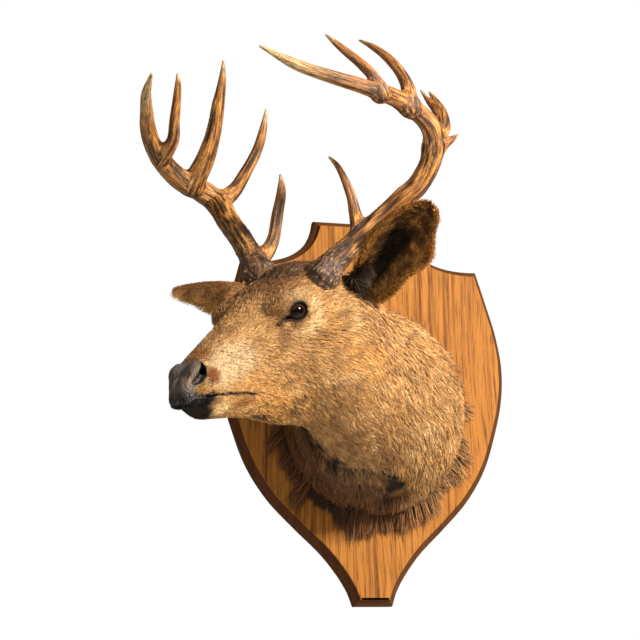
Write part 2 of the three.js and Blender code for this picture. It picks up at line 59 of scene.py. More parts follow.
# f, top, bottom, half width, level of the widest point, upper and lower roundness
HEAD_SECTIONS = [
    (-118, 16, -112, 56, -34, 2.0, 1.9),
    (-88, 36, -132, 60, -24, 2.1, 1.8),
    (-58, 47, -140, 63, -14, 2.2, 1.7),
    (-30, 50, -141, 65, -6, 2.3, 1.65),
    (0, 46, -136, 63, 2, 2.3, 1.6),
    (25, 38, -127, 56, -2, 2.2, 1.6),
    (50, 30, -116, 47, -12, 2.2, 1.7),
    (75, 23, -102, 41, -20, 2.2, 1.8),
    (100, 16, -90, 37, -26, 2.3, 1.9),
    (128, 8, -80, 33, -27, 2.3, 2.0),
    (150, 1, -73, 31, -26, 2.3, 2.1),
    (168, -5, -67, 28, -25, 2.3, 2.2),
]
NOSE_ROUND = (162.0, 20.0)
SKULL_ROUND = (-118.0, 40.0)
BROW = ((12, 44, 16), (34, 22, 20), 14.0)
CHEEK = ((-42, 40, -62), (50, 30, 52), 22.0)
CROWN = ((-60, 0, 30), (38, 44, 24), 20.0)
UPPER_LIP = ((178, 9, -38), (15, 12, 11), 5.0)

NECK_LINE = np.array([(0, 0, -12), (0, -100, -24), (-62, -180, -6), (-128, -238, 28)], float)
NECK_SECTIONS = [(0, 136, 148), (0.25, 124, 135), (0.5, 106, 118), (0.75, 84, 100), (1, 66, 84)]
NECK_BLEND = 40.0
BOARD_FACE = -22.0
SKIN_END = BOARD_FACE - 1.0

EYE_CENTRE = np.array([10.2, 48.8, 7.0])
EYE_RADIUS = 16.0
MOUTH_CORNER = (88.0, -66.0)
MOUTH_FRONT = (178.0, -38.5)

EAR_LEFT = dict(root=(-118, 56, -16), tip=(-127, 185, 85), faces=(0.76, 0.5, -0.2), wide=0.9, deep=0.95)
EAR_RIGHT = dict(root=(-118, -52, -28), tip=(-57, -194, 50), faces=(0.07, -0.46, -0.9),
                 wide=0.95, deep=0.85)
# share of the length, full width, cup depth
EAR_SECTIONS = [
    (0, 40, 16), (0.12, 54, 22), (0.28, 72, 30), (0.46, 84, 30), (0.62, 84, 26),
    (0.76, 72, 20), (0.87, 54, 13), (0.95, 33, 7), (1, 12, 2),
]

# Antlers: centre line points (f, l, u), each with the radius there. These numbers, like PLAQUE_SIDE
# below, were worked out by a fitting script from pixels picked by hand; see report.md.
LEFT_BEAM = [
    (-46, 40, 21, 17), (-60, 50, 31, 20.5), (-70, 56, 38, 17), (-80, 63, 45, 15.3), (-99, 76, 55, 13.8),
    (-118, 91, 67, 12.8), (-137, 106, 77, 12.6), (-153, 126, 90, 12.8), (-169, 149, 104, 13.1),
    (-183, 168, 131, 13.4), (-186, 175, 157, 12.7), (-178, 174, 179, 11.8), (-151, 165, 208, 11.1),
    (-101, 163, 233, 9.1), (-55, 131, 268, 7.2), (-37, 113, 287, 6.1), (-20, 89, 315, 1.6),
]
RIGHT_BEAM = [
    (-43, -31, 40, 17), (-54, -43, 50, 20), (-64, -54, 61, 16.5), (-75, -66, 72, 15.2),
    (-89, -82, 82, 14.8), (-103, -98, 92, 14.6), (-146, -147, 110, 15), (-179, -186, 135, 15.5),
    (-163, -196, 159, 15), (-139, -197, 176, 14.4), (-117, -196, 200, 13.4), (-96, -189, 230, 11.8),
    (-78, -173, 256, 10.4), (-61, -150, 280, 8.2), (-42, -124, 301, 6.2), (-20, -86, 321, 1.8),
]
LEFT_TINES = [
    [(-110, 83, 62, 11), (-123, 76, 90, 7.7), (-131, 71, 111, 6), (-137, 64, 133, 4.7),
     (-141, 56, 150, 3.4), (-141, 48, 162, 1.5)],
    [(-184, 170, 140, 12), (-205, 172, 152, 10), (-219, 172, 160, 8.3), (-238, 162, 176, 6.2),
     (-252, 149, 190, 4.1), (-263, 136, 202, 1.5)],
    [(-212, 170, 156, 5.5), (-222, 165, 167, 4.9), (-234, 156, 179, 4), (-246, 142, 192, 3.1),
     (-258, 128, 207, 1.4)],
    [(-159, 172, 194, 12), (-170, 169, 220, 8.1), (-177, 159, 240, 6.6), (-182, 144, 260, 5.5),
     (-183, 128, 276, 4), (-183, 111, 289, 1.5)],
    [(-113, 168, 222, 11), (-112, 166, 243, 7), (-110, 156, 261, 5.9), (-108, 144, 277, 5.2),
     (-105, 133, 292, 4.1), (-103, 123, 306, 1.4)],
    [(-186, 172, 139, 9), (-201, 187, 143, 4.6), (-208, 195, 147, 1.3)],
]
RIGHT_TINES = [
    [(-66, -56, 60, 12), (-84, -49, 67, 10), (-100, -42, 82, 8.5), (-114, -39, 105, 7.6),
     (-133, -35, 134, 6), (-142, -36, 154, 1.8)],
    [(-180, -186, 132, 13.6), (-202, -170, 143, 10.2), (-220, -154, 164, 8.1),
     (-238, -141, 186, 7.1), (-251, -132, 209, 5.6), (-263, -126, 234, 1.8)],
    [(-148, -190, 167, 15), (-159, -161, 201, 11.9), (-168, -144, 230, 9.9),
     (-175, -129, 262, 8.2), (-181, -117, 289, 5.2), (-184, -108, 312, 1.8)],
    [(-104, -190, 214, 11), (-104, -161, 234, 8.1), (-104, -148, 258, 6.8),
     (-105, -134, 284, 5.3), (-105, -125, 301, 3.8), (-104, -120, 313, 1.5)],
]

PLAQUE_FLAT_TOP_HALF, PLAQUE_TOP, PLAQUE_SHOULDER = 68.0, 267.5, 203.5
PLAQUE_SCALLOP = (76.0, 199.0)
PLAQUE_SIDE = [
    (203.5, 174), (159.5, 186.5), (110, 199.5), (60, 206), (11, 202), (-38, 189), (-88, 170.2),
    (-132, 142), (-170, 105.8), (-203, 71.5), (-231, 49), (-255, 34.5), (-275, 27.2),
]

# ------------------------------------------------------------------ small mathematics


def unit(v):
    return v / np.maximum(np.linalg.norm(v, axis=-1, keepdims=True), 1e-9)


def head_axes():
    yaw, pitch, roll = (math.radians(a) for a in (HEAD_YAW, HEAD_PITCH, HEAD_ROLL))
    f = np.array([-math.sin(yaw) * math.cos(pitch), -math.cos(yaw) * math.cos(pitch), -math.sin(pitch)])
    side = np.array([math.cos(yaw), -math.sin(yaw), 0.0])
    top = np.cross(f, side)
    top = top if top[2] > 0 else -top
    left = side * math.cos(roll) + top * math.sin(roll)
    up = top * math.cos(roll) - side * math.sin(roll)
    return np.stack([f, left, up])


AXES = head_axes()


def to_head(points):
    return (points - HEAD_ORIGIN) @ AXES.T


def from_head(points):
    return HEAD_ORIGIN + np.asarray(points, float) @ AXES


def mirrored(h):
    """Points in the head's axes, all brought to the deer's left side."""
    folded = h.copy()
    folded[:, 1] = np.abs(folded[:, 1])
    return folded


def head_direction(v):
    return unit(np.asarray(v, float) @ AXES)


def table_at(table, x):
    """The table's columns at x, along smooth curves through its rows."""
    t = np.asarray(table, float)
    rows = t[:, 0]
    last = len(t) - 1
    lower, upper = np.maximum(np.arange(last + 1) - 1, 0), np.minimum(np.arange(last + 1) + 1, last)
    slope = (t[upper, 1:] - t[lower, 1:]) / (rows[upper] - rows[lower])[:, None]
    x = np.clip(np.asarray(x, float), rows[0], rows[-1])
    i = np.clip(np.searchsorted(rows, x, side="right") - 1, 0, last - 1)
    h = rows[i + 1] - rows[i]
    s = ((x - rows[i]) / h)[:, None]
    h = h[:, None]
    s2, s3 = s * s, s * s * s
    return ((2 * s3 - 3 * s2 + 1) * t[i, 1:] + (s3 - 2 * s2 + s) * h * slope[i]
            + (3 * s2 - 2 * s3) * t[i + 1, 1:] + (s3 - s2) * h * slope[i + 1])


def soft_min(a, b, k):
    h = np.clip(0.5 + 0.5 * (b - a) / k, 0, 1)
    return b * (1 - h) + a * h - k * h * (1 - h)


def soft_max(a, b, k):
    return -soft_min(-a, -b, k)


def fade(x, low, high):
    """0 below low, 1 above high, smooth between."""
    t = np.clip((x - low) / (high - low), 0, 1)
    return t * t * (3 - 2 * t)


def bell(distance, width):
    """1 at no distance, falling off smoothly over width."""
    return np.exp(-(distance / width) ** 2)


def ellipsoid(h, centre, radii):
    q = (h - np.array(centre, float)) / np.array(radii, float)
    k0 = np.sqrt((q ** 2).sum(-1)) + 1e-9
    k1 = np.sqrt(((q / np.array(radii, float)) ** 2).sum(-1)) + 1e-9
    return k0 * (k0 - 1) / k1


def hash3(cell, seed):
    """Even pseudo-random numbers in 0..1 for whole-number cells."""
    c = cell.astype(np.int64)
    n = (c[..., 0] * 73856093) ^ (c[..., 1] * 19349663) ^ (c[..., 2] * 83492791) ^ (seed * 2654435761)
    n = (n ^ (n >> 13)) & 0x7FFFFFFF
    n = (n * ((n * n * 15731 + 789221) & 0x7FFFFFFF) + 1376312589) & 0x7FFFFFFF
    return n / float(0x7FFFFFFF)


def noise3(p, seed=0):
    """Smooth value noise, about -1..1, one cell per unit."""
    base = np.floor(p)
    t = p - base
    t = t * t * (3 - 2 * t)
    total = 0
    for dx in (0, 1):
        for dy in (0, 1):
            for dz in (0, 1):
                corner = np.array([dx, dy, dz])
                weight = np.prod(np.abs(1 - corner - t), axis=-1)
                total = total + weight * hash3(base + corner, seed)
    return 2 * total - 1


def fractal(p, seed=0, octaves=3):
    total, size, scale = 0, 0.0, 1.0
    for i in range(octaves):
        total = total + scale * noise3(p * (2.03 ** i), seed + i)
        size += scale
        scale *= 0.55
    return total / size


# ------------------------------------------------------------------ the body as a field


def head_field(h):
    f, l, u = h[:, 0], h[:, 1], h[:, 2]
    top, bottom, half, level, upper, lower = table_at(HEAD_SECTIONS, f).T
    above = u > level
    height = np.where(above, top - level, level - bottom)
    p = np.where(above, upper, lower)
    start = np.where(f > 0, NOSE_ROUND[0], SKULL_ROUND[0])
    depth = np.where(f > 0, NOSE_ROUND[1], SKULL_ROUND[1])
    past = np.maximum(0, np.where(f > 0, f - start, start - f))
    rho = (np.abs(l / half) ** p + np.abs((u - level) / height) ** p + (past / depth) ** 2.2) ** (1 / p)
    r = np.sqrt(l ** 2 + (u - level) ** 2 + past ** 2) + 1e-6
    return r * (1 - 1 / np.maximum(rho, 1e-3))


def neck_point(t):
    t = np.asarray(t, float)[:, None]
    a, b, c, d = NECK_LINE
    return (1 - t) ** 3 * a + 3 * (1 - t) ** 2 * t * b + 3 * (1 - t) * t * t * c + t ** 3 * d


NECK_T = np.linspace(0, 1, 31)
NECK_POINTS = neck_point(NECK_T)
NECK_ALONG = unit(neck_point(NECK_T + 1e-3) - neck_point(NECK_T - 1e-3))
NECK_LENGTH = np.linalg.norm(np.diff(neck_point(np.linspace(0, 1, 200)), axis=0), axis=1).sum()


def neck_frame(p):
    """Share along the neck of each point, with the neck's centre and its axes there."""
    nearest = np.zeros(len(p), int)
    best = np.full(len(p), 1e12)
    for i, c in enumerate(NECK_POINTS):
        d = ((p - c) ** 2).sum(1)
        closer = d < best
        best[closer] = d[closer]
        nearest[closer] = i
    d = p - NECK_POINTS[nearest]
    t = np.clip(NECK_T[nearest] + (d * NECK_ALONG[nearest]).sum(1) / NECK_LENGTH, 0, 1)
    centre = neck_point(t)
    along = unit(neck_point(t + 1e-3) - neck_point(t - 1e-3))
    side = unit(np.cross(along, np.array([0, 0, 1.0])))
    up = np.cross(side, along)
    return t, centre, along, side, up


def neck_field(p):
    t, centre, along, side, up = neck_frame(p)
    a, b = table_at(NECK_SECTIONS, t).T
    d = p - centre
    s, v = (d * side).sum(1), (d * up).sum(1)
    beyond = np.where(t >= 1, np.maximum(0, (d * along).sum(1)), 0)
    rho = np.sqrt((s / a) ** 2 + (v / b) ** 2 + (beyond / 60) ** 2)
    r = np.sqrt(s * s + v * v + beyond ** 2) + 1e-6
    return r * (1 - 1 / np.maximum(rho, 1e-3))


def round_neck(p):
    """Share along the neck, and degrees round it from straight down towards the deer's left."""
    t, centre, _, side, up = neck_frame(p)
    d = p - centre
    return t, np.degrees(np.arctan2(-(d * side).sum(1), -(d * up).sum(1)))


def on_neck(rows):
    """Points on the neck's oval."""
    share, angle, outside = np.array(rows, float).T
    _, centre, _, side, up = neck_frame(neck_point(share))
    half, drop = (table_at(NECK_SECTIONS, share) + outside[:, None]).T
    turn = np.radians(angle)
    path = centre - side * (half * np.sin(turn))[:, None] - up * (drop * np.cos(turn))[:, None]
    return path


def body_field(p):
    """The outline of the coat's tips, as in the solids. Negative inside."""
    h = to_head(p)
    folded = mirrored(h)
    d = head_field(h)
    for (centre, radii, blend), at in ((BROW, folded), (CHEEK, folded), (CROWN, h), (UPPER_LIP, folded)):
        d = soft_min(d, ellipsoid(at, centre, radii), blend)
    return soft_min(d, neck_field(p), NECK_BLEND)


def coat_depth(p, h):
    """How far the coat stands off the skin."""
    f = h[:, 0]
    face = 1.3 + 1.7 * fade(-f, -150, -60) + 2.6 * fade(-f, -55, 30)
    neck = 4.0 * fade(-f, 40, 130) * fade(p[:, 1], -300, -140)
    return face + neck


def capsules(h, rows):
    """Distance to a rounded tube through rows of (f, l, u, radius)."""
    rows = np.asarray(rows, float)
    best = np.full(len(h), 1e9)
    for a, b in zip(rows[:-1], rows[1:]):
        ab = b[:3] - a[:3]
        s = np.clip(((h - a[:3]) @ ab) / (ab @ ab), 0, 1)
        gap = np.linalg.norm(h - a[:3] - s[:, None] * ab, axis=1) - (a[3] + s * (b[3] - a[3]))
        best = np.minimum(best, gap)
    return best


NOSTRIL = [(156, 17, -6, 1.6), (160, 22, -10, 3.4), (165, 24.5, -15, 4.6),
           (171, 23.5, -19, 4.0), (177, 20, -21, 1.8)]
NOSTRIL_RIM = [(160, 14, -3), (167, 17, -8), (173, 18, -12), (179, 16, -16), (182, 13, -21)]
NOSTRIL_DEEP = [(163, 22, -13, 3.2), (152, 13, -16, 4.0)]
PIT = [(47, 46, 4, 1.6), (43.5, 46.5, 0, 2.4)]
TEAR_LINE = [(32, 52, 4, 1.0), (40, 48.5, 3, 1.2)]
# The ragged hollow under the throat: share of the neck from the board, degrees round from straight
# down towards the deer's left, and how far it lies outside the neck's oval
THROAT_DEPTH = 14.0
THROAT_HOLLOW = [(0.75, -50, 5), (0.6, -30, 10), (0.55, -10, 15),
                 (0.55, 10, 15), (0.45, 20, 10), (0.3, 15, 0)]
# places round the neck, as in THROAT_HOLLOW, of dark spots of painted shade below the throat hollow
SHADE_SPOTS_ROUND = [(0.15, -35, 0), (0.2, -15, 0)]
THIN = 0.1
EAR_BASE = [(-104, 58, 2, 9), (-98, 70, 14, 9), (-104, 82, 24, 4)]
EYE_OUT = unit(np.array([0.55, 0.82, 0.09]))
EYE_FORWARD = unit(np.array([0.832, -0.5525, -0.031]))
EYE_UP = np.cross(EYE_FORWARD, EYE_OUT)


def to_path(h, *points):
    """Distance to a thin line through the points."""
    return capsules(h, [(*point, THIN) for point in points])


def eye_plane(folded):
    """Place of a point before the eye: forward along the opening, up, and out of the head."""
    d = folded - EYE_CENTRE
    return d @ EYE_FORWARD, d @ EYE_UP, d @ EYE_OUT


def eye_opening(forward, up):
    """Negative inside the opening between the lids: a round part and the narrow front corner."""

    def oval(x, y, half_wide, half_high):
        return (np.sqrt((x / half_wide) ** 2 + (y / half_high) ** 2 + 1e-9) - 1) * min(half_wide, half_high)

    tilted = up + 0.10 * forward
    return soft_min(oval(forward + 0.5, tilted, 11.7, 9.6), oval(forward - 9.5, up + 3.0, 8.0, 2.0), 2.5)


def mouth_line(f):
    x = np.clip((f - MOUTH_CORNER[0]) / (MOUTH_FRONT[0] - MOUTH_CORNER[0]), 0, 1.2)
    straight = MOUTH_CORNER[1] + (MOUTH_FRONT[1] - MOUTH_CORNER[1]) * x
    return straight + 2.0 * np.sin(math.pi * np.minimum(x, 1))


def skin_field(p):
    """The skin: the outline less the coat's depth, with the face's folds and openings."""
    h = to_head(p)
    d = body_field(p) + coat_depth(p, h) + THROAT_DEPTH * bell(throat_gap(p), 19.0)
    d = soft_min(d, capsules(h, EAR_BASE), 10.0)
    near = h[:, 0] > -25
    if not near.any():
        return np.maximum(d, p[:, 1] - SKIN_END)
    g = h[near]
    k = d[near]
    f, u = g[:, 0], g[:, 2]
    folded = mirrored(g)
    # lips: the upper hangs over the lower, the chin stands back
    line = mouth_line(f)
    ahead = (f - 173.0) * 0.93 - (u + 50.0) * 0.36
    chin_gap = np.maximum(-ahead, u + 48.0)
    k = soft_max(k, -chin_gap, 6.0)
    width = 0.5 + 2.0 * fade(f, 120, 165)
    reach = 5.0 + 6.0 * fade(f, 130, 165)
    slit = np.maximum(np.abs(u - line) - width, -(k + reach))
    slit = np.maximum(slit, np.maximum(MOUTH_CORNER[0] - f, f - 169.0))
    k = soft_max(k, -slit, 2.0)
    # a lip roll above and below the mouth
    roll = bell(u - line - 5.0, 3.4) + 0.8 * bell(u - line + 6.0, 3.6)
    k = k - roll * fade(f, 96, 120) * (1 - fade(f, 168, 182))
    # nose pad: wings round the nostrils, a groove down the middle
    k = soft_min(k, ellipsoid(folded, (163, 14, -11), (11, 9.5, 9)), 7.0)
    k = soft_min(k, ellipsoid(folded, (180, 6, -30), (10, 10.5, 15)), 7.0)
    k = k - 1.6 * bell(to_path(folded, *NOSTRIL_RIM), 2.6)
    k = soft_max(k, -capsules(folded, [(186, 0, -8, 0.3), (191, 0, -26, 0.3), (194, 0, -40, 0.5)]), 2.5)
    k = soft_max(k, -capsules(folded, NOSTRIL), 1.6)
    k = soft_max(k, -capsules(folded, NOSTRIL_DEEP), 1.6)
    # crease behind the wing of the nose, running down to the lip
    k = k + 1.1 * bell(to_path(folded, (156, 27, -8), (159, 29, -18), (166, 27, -26)), 2.6)
    # cheek bone from the eye to the muzzle and the hollow under it
    ridge = to_path(folded, (36, 50, -10), (70, 40, -20), (105, 36, -26))
    hollow = to_path(folded, (60, 42, -48), (92, 38, -46))
    k = k - 1.4 * bell(ridge, 9.0) + 1.6 * bell(hollow, 13.0)
    # the gland's pit before the eye and the line that runs to it
    k = soft_max(k, -capsules(folded, PIT), 2.2)
    k = soft_max(k, -capsules(folded, TEAR_LINE), 2.4)
    # lids over the eyeball, open along the almond
    forward, up, out = eye_plane(folded)
    ball = np.sqrt(forward ** 2 + up ** 2 + out ** 2)
    lid = np.abs(ball - EYE_RADIUS - 1.6) - 1.5
    lid = np.maximum(lid, 3.0 - out)
    k = soft_min(k, lid, 5.0)
    opening = eye_opening(forward, up)
    rim = bell(opening - 1.6, 1.5) * fade(out, 4, 9)
    k = k - 0.9 * rim
    fold = bell(opening - 6.0, 1.3) * fade(up, 1, 6) * fade(out, 2, 8)
    k = k + 0.9 * fold
    k = soft_max(k, -np.maximum(opening, 4.0 - out), 1.0)
    k = np.maximum(k, -(ball - EYE_RADIUS - 0.15))
    d[near] = k
    return np.maximum(d, p[:, 1] - SKIN_END)


def throat_gap(p):
    """Distance from the ragged hollow that runs under the throat ridge to the board."""
    return to_path(p, *on_neck(THROAT_HOLLOW))


def gradient(field, p, step=0.35):
    tips = np.array([(1, -1, -1), (-1, -1, 1), (-1, 1, -1), (1, 1, 1)], float)
    total = sum(tip * field(p + tip * step)[:, None] for tip in tips)
    return total / (4 * step)


def settle(field, p, rounds=3, most=1.5):
    """Moves points onto the field's zero."""
    for _ in range(rounds):
        g = gradient(field, p)
        d = field(p)
        move = d[:, None] * g / np.maximum((g ** 2).sum(1, keepdims=True), 0.2)
        far = np.linalg.norm(move, axis=1, keepdims=True)
        p = p - move * np.minimum(1, most / np.maximum(far, 1e-9))
    return p


# ------------------------------------------------------------------ meshes from fields


def surface_nets(field, low, high, step, block=5):
    """Triangles of the field's zero, from samples taken only near it."""
    low = np.asarray(low, float)
    cells = np.ceil((np.asarray(high, float) - low) / (step * block)).astype(int)
    grid = np.stack(np.meshgrid(*[np.arange(c) for c in cells], indexing="ij"), -1).reshape(-1, 3)
    middle = field(low + (grid + 0.5) * step * block)
    near = np.abs(middle) < step * block * 0.87 * 1.35 + 2.0
    n = cells * block
    v = np.repeat(np.repeat(np.repeat(middle.reshape(cells), block, 0), block, 1), block, 2)
    inner = np.stack(np.meshgrid(*[np.arange(block)] * 3, indexing="ij"), -1).reshape(-1, 3)
    for start in range(0, near.sum(), 2000):
        picked = grid[near][start:start + 2000]
        ijk = (picked[:, None, :] * block + inner[None]).reshape(-1, 3)
        v[ijk[:, 0], ijk[:, 1], ijk[:, 2]] = field(low + ijk * step)
    inside = v < 0
    count = np.zeros(n - 1, np.int8)
    total = np.zeros(tuple(n - 1) + (3,), np.float32)
    for axis in range(3):
        o1, o2 = [a for a in range(3) if a != axis]
        for e1 in (0, 1):
            for e2 in (0, 1):
                cut = [None] * 3
                cut[axis] = slice(0, n[axis] - 1)
                cut[o1] = slice(e1, n[o1] - 1 + e1)
                cut[o2] = slice(e2, n[o2] - 1 + e2)
                a = v[tuple(cut)]
                cut[axis] = slice(1, n[axis])
                b = v[tuple(cut)]
                crossing = (a < 0) != (b < 0)
                where = np.where(crossing, a / np.where(crossing, a - b, 1), 0)
                total[..., axis] += where
                total[..., o1] += crossing * e1
                total[..., o2] += crossing * e2
                count += crossing
    active = count > 0
    index = -np.ones(active.shape, int)
    index[active] = np.arange(active.sum())
    points = low + step * (np.argwhere(active) + total[active] / count[active][:, None])
    quads = []
    for axis in range(3):
        o1, o2 = (axis + 1) % 3, (axis + 2) % 3
        cut = [None] * 3
        cut[axis] = slice(0, n[axis] - 1)
        cut[o1], cut[o2] = slice(1, n[o1] - 1), slice(1, n[o2] - 1)
        a = inside[tuple(cut)]
        cut[axis] = slice(1, n[axis])
        b = inside[tuple(cut)]
        g = np.argwhere(a != b)
        flip = ~a[a != b]
        g[:, o1] += 1
        g[:, o2] += 1
        corners = []
        for d1, d2 in ((1, 1), (0, 1), (0, 0), (1, 0)):
            c = g.copy()
            c[:, o1] -= d1
            c[:, o2] -= d2
            corners.append(index[c[:, 0], c[:, 1], c[:, 2]])
        q = np.stack(corners, 1)
        q[flip] = q[flip][:, ::-1]
        quads.append(q)
    q = np.concatenate(quads)
    return points, np.concatenate([q[:, [0, 1, 2]], q[:, [0, 2, 3]]])


def refine(points, tris, longest):
    """Splits edges longer than longest(middle) allows; the mesh stays closed."""
    ends = np.sort(np.concatenate([tris[:, [0, 1]], tris[:, [1, 2]], tris[:, [2, 0]]]), axis=1)
    edges, which = np.unique(ends, axis=0, return_inverse=True)
    which = which.reshape(3, -1).T
    a, b = points[edges[:, 0]], points[edges[:, 1]]
    middle = (a + b) / 2
    split = np.linalg.norm(a - b, axis=1) > longest(middle)
    new = -np.ones(len(edges), int)
    new[split] = len(points) + np.arange(split.sum())
    mids = new[which]
    has = mids >= 0
    out = [tris[~has.any(1)]]
    for turn in range(3):
        t = np.roll(tris, -turn, axis=1)
        m = np.roll(mids, -turn, axis=1)
        k = np.roll(has, -turn, axis=1)
        one = k[:, 0] & ~k[:, 1] & ~k[:, 2]
        out.append(np.stack([t[one, 0], m[one, 0], t[one, 2]], 1))
        out.append(np.stack([m[one, 0], t[one, 1], t[one, 2]], 1))
        two = k[:, 0] & k[:, 1] & ~k[:, 2]
        out.append(np.stack([m[two, 0], t[two, 1], m[two, 1]], 1))
        out.append(np.stack([t[two, 0], m[two, 0], m[two, 1]], 1))
        out.append(np.stack([t[two, 0], m[two, 1], t[two, 2]], 1))
    full = has.all(1)
    t, m = tris[full], mids[full]
    out += [np.stack([t[:, 0], m[:, 0], m[:, 2]], 1), np.stack([m[:, 0], t[:, 1], m[:, 1]], 1),
            np.stack([m[:, 2], m[:, 1], t[:, 2]], 1), m]
    return np.concatenate([points, middle[split]]), np.concatenate(out), len(points)


def make_mesh(name, points, faces, smooth=True):
    """An object from millimetre points and equal-sided faces."""
    mesh = bpy.data.meshes.new(name)
    sides = faces.shape[1]
    mesh.vertices.add(len(points))
    mesh.vertices.foreach_set("co", (points * MM).astype(np.float32).ravel())
    mesh.loops.add(faces.size)
    mesh.loops.foreach_set("vertex_index", faces.astype(np.int32).ravel())
    mesh.polygons.add(len(faces))
    mesh.polygons.foreach_set("loop_start", np.arange(0, faces.size, sides, dtype=np.int32))
    mesh.polygons.foreach_set("use_smooth", np.full(len(faces), smooth))
    mesh.update(calc_edges=True)
    return link(name, mesh)


def set_colour(mesh, name, rgb):
    """A colour for each point, given in linear values."""
    layer = mesh.color_attributes.new(name, "FLOAT_COLOR", "POINT")
    values = np.ones((len(mesh.vertices), 4), np.float32)
    values[:, :3] = rgb
    layer.data.foreach_set("color", values.ravel())


def set_value(mesh, name, values):
    layer = mesh.attributes.new(name, "FLOAT", "POINT")
    layer.data.foreach_set("value", np.asarray(values, np.float32))


def set_vector(mesh, name, values):
    layer = mesh.attributes.new(name, "FLOAT_VECTOR", "POINT")
    layer.data.foreach_set("vector", np.asarray(values, np.float32).ravel())


def linear(rgb):
    """0..255 screen colour to linear."""
    c = np.asarray(rgb, float) / 255
    return np.where(c <= 0.04045, c / 12.92, ((c + 0.055) / 1.055) ** 2.4)


# ------------------------------------------------------------------ camera, light, floor


# the photo's camera: degrees round, up and of roll, where it looks, how far off, focal length in pixels
CAMERA_TURN, CAMERA_RISE, CAMERA_ROLL = -15.7, -15.6, 1.76
CAMERA_TARGET = np.array([-59.07, 0, 125.18])
CAMERA_DISTANCE = 2251.7
FOCAL_PIXELS, PICTURE_PIXELS, SENSOR = 1599, 640, 36.0
FLOOR_LEVEL, FLOOR_HALF = -1500, 6000.0


def place_thing(thing, axes, at):
    """Sets an object's axes (as columns) and its place in metres."""
    matrix = np.eye(4)
    matrix[:3, :3], matrix[:3, 3] = axes, at
    thing.matrix_world = Matrix([list(row) for row in matrix])


def link(name, data):
    thing = bpy.data.objects.new(name, data)
    bpy.context.scene.collection.objects.link(thing)
    return thing


def set_camera():
    """Below and to the deer's right of straight ahead, rolled a little, with a long lens."""
    azimuth, elevation, roll = (math.radians(a) for a in (CAMERA_TURN, CAMERA_RISE, CAMERA_ROLL))
    back = np.array([math.sin(azimuth) * math.cos(elevation), -math.cos(azimuth) * math.cos(elevation),
                     math.sin(elevation)])
    right = np.array([math.cos(azimuth), math.sin(azimuth), 0])
    up = np.cross(back, right)
    up = up if up[2] > 0 else -up
    c, s = math.cos(roll), math.sin(roll)
    rolled = np.array([[c, -s, 0], [s, c, 0], [0, 0, 1]]) @ np.stack([right, up, back])
    data = bpy.data.cameras.new("camera")
    data.sensor_width = SENSOR
    data.lens = FOCAL_PIXELS / PICTURE_PIXELS * SENSOR
    data.clip_end = 100
    camera = link("camera", data)
    place_thing(camera, rolled.T, (CAMERA_TARGET + CAMERA_DISTANCE * back) * MM)
    bpy.context.scene.camera = camera


def area_light(name, place, aim, size, power, colour):
    data = bpy.data.lights.new(name, "AREA")
    data.shape, data.size = "DISK", size
    data.energy, data.color = power, colour
    z = unit(np.array(place, float) - np.array(aim, float))
    x = unit(np.cross([0, 0, 1.0], z))
    place_thing(link(name, data), np.stack([x, np.cross(z, x), z], 1), place)


def set_studio():
    area_light("key", (1.75, -2.85, 1.30), (-0.05, -0.15, 0.05), 0.7, 305, (1.0, 0.94, 0.86))
    area_light("fill", (-1.9, -2.2, 0.5), (-0.1, -0.2, 0.0), 1.8, 13, (1.0, 0.98, 0.95))
    world = bpy.data.worlds.new("studio")
    bpy.context.scene.world = world
    world.use_nodes = True
    tree = world.node_tree
    tree.nodes.clear()
    out = tree.nodes.new("ShaderNodeOutputWorld")
    lit = tree.nodes.new("ShaderNodeBackground")
    lit.inputs["Color"].default_value = (1.0, 0.97, 0.93, 1)
    lit.inputs["Strength"].default_value = 0.16
    seen = tree.nodes.new("ShaderNodeBackground")
    seen.inputs["Color"].default_value = (1, 1, 1, 1)
    seen.inputs["Strength"].default_value = 1.0
    path = tree.nodes.new("ShaderNodeLightPath")
    mix = tree.nodes.new("ShaderNodeMixShader")
    tree.links.new(path.outputs["Is Camera Ray"], mix.inputs[0])
    tree.links.new(lit.outputs[0], mix.inputs[1])
    tree.links.new(seen.outputs[0], mix.inputs[2])
    tree.links.new(mix.outputs[0], out.inputs["Surface"])
    view = bpy.context.scene.view_settings
    view.view_transform, view.look = "Standard", "None"
    corners = np.array([(x * FLOOR_HALF, y * FLOOR_HALF, FLOOR_LEVEL)
                        for x, y in ((-1, -1), (1, -1), (1, 1), (-1, 1))])
    floor = make_mesh("floor", corners, np.array([[0, 1, 2, 3]]))
    material = bpy.data.materials.new("pale_floor")
    material.use_nodes = True
    shader = material.node_tree.nodes["Principled BSDF"]
    shader.inputs["Base Color"].default_value = (0.8, 0.8, 0.79, 1)
    shader.inputs["Roughness"].default_value = 0.8
    floor.data.materials.append(material)


# ------------------------------------------------------------------ materials


def new_material(name):
    material = bpy.data.materials.new(name)
    material.use_nodes = True
    return material, material.node_tree, material.node_tree.nodes["Principled BSDF"]


def node(tree, kind, **values):
    """A node with its sockets set by name, or joined when the value is another node's output."""
    made = tree.nodes.new("ShaderNode" + kind)
    sockets = values.pop("sockets", {})
    for key, value in values.items():
        setattr(made, key, value)
    for key, value in sockets.items():
        if isinstance(value, bpy.types.NodeSocket):
            tree.links.new(value, made.inputs[key])
        else:
            made.inputs[key].default_value = value
    return made


def attribute(tree, name, output="Color"):
    return node(tree, "Attribute", attribute_name=name).outputs[output]


def noise(tree, vector, scale, detail=3.0, roughness=0.55, distortion=0.0):
    return node(tree, "TexNoise", sockets={
        "Vector": vector, "Scale": scale, "Detail": detail, "Roughness": roughness,
        "Distortion": distortion,
    }).outputs["Fac"]


def stretched(tree, vector, scale):
    return node(tree, "Mapping", vector_type="POINT", sockets={"Vector": vector, "Scale": scale}).outputs[0]


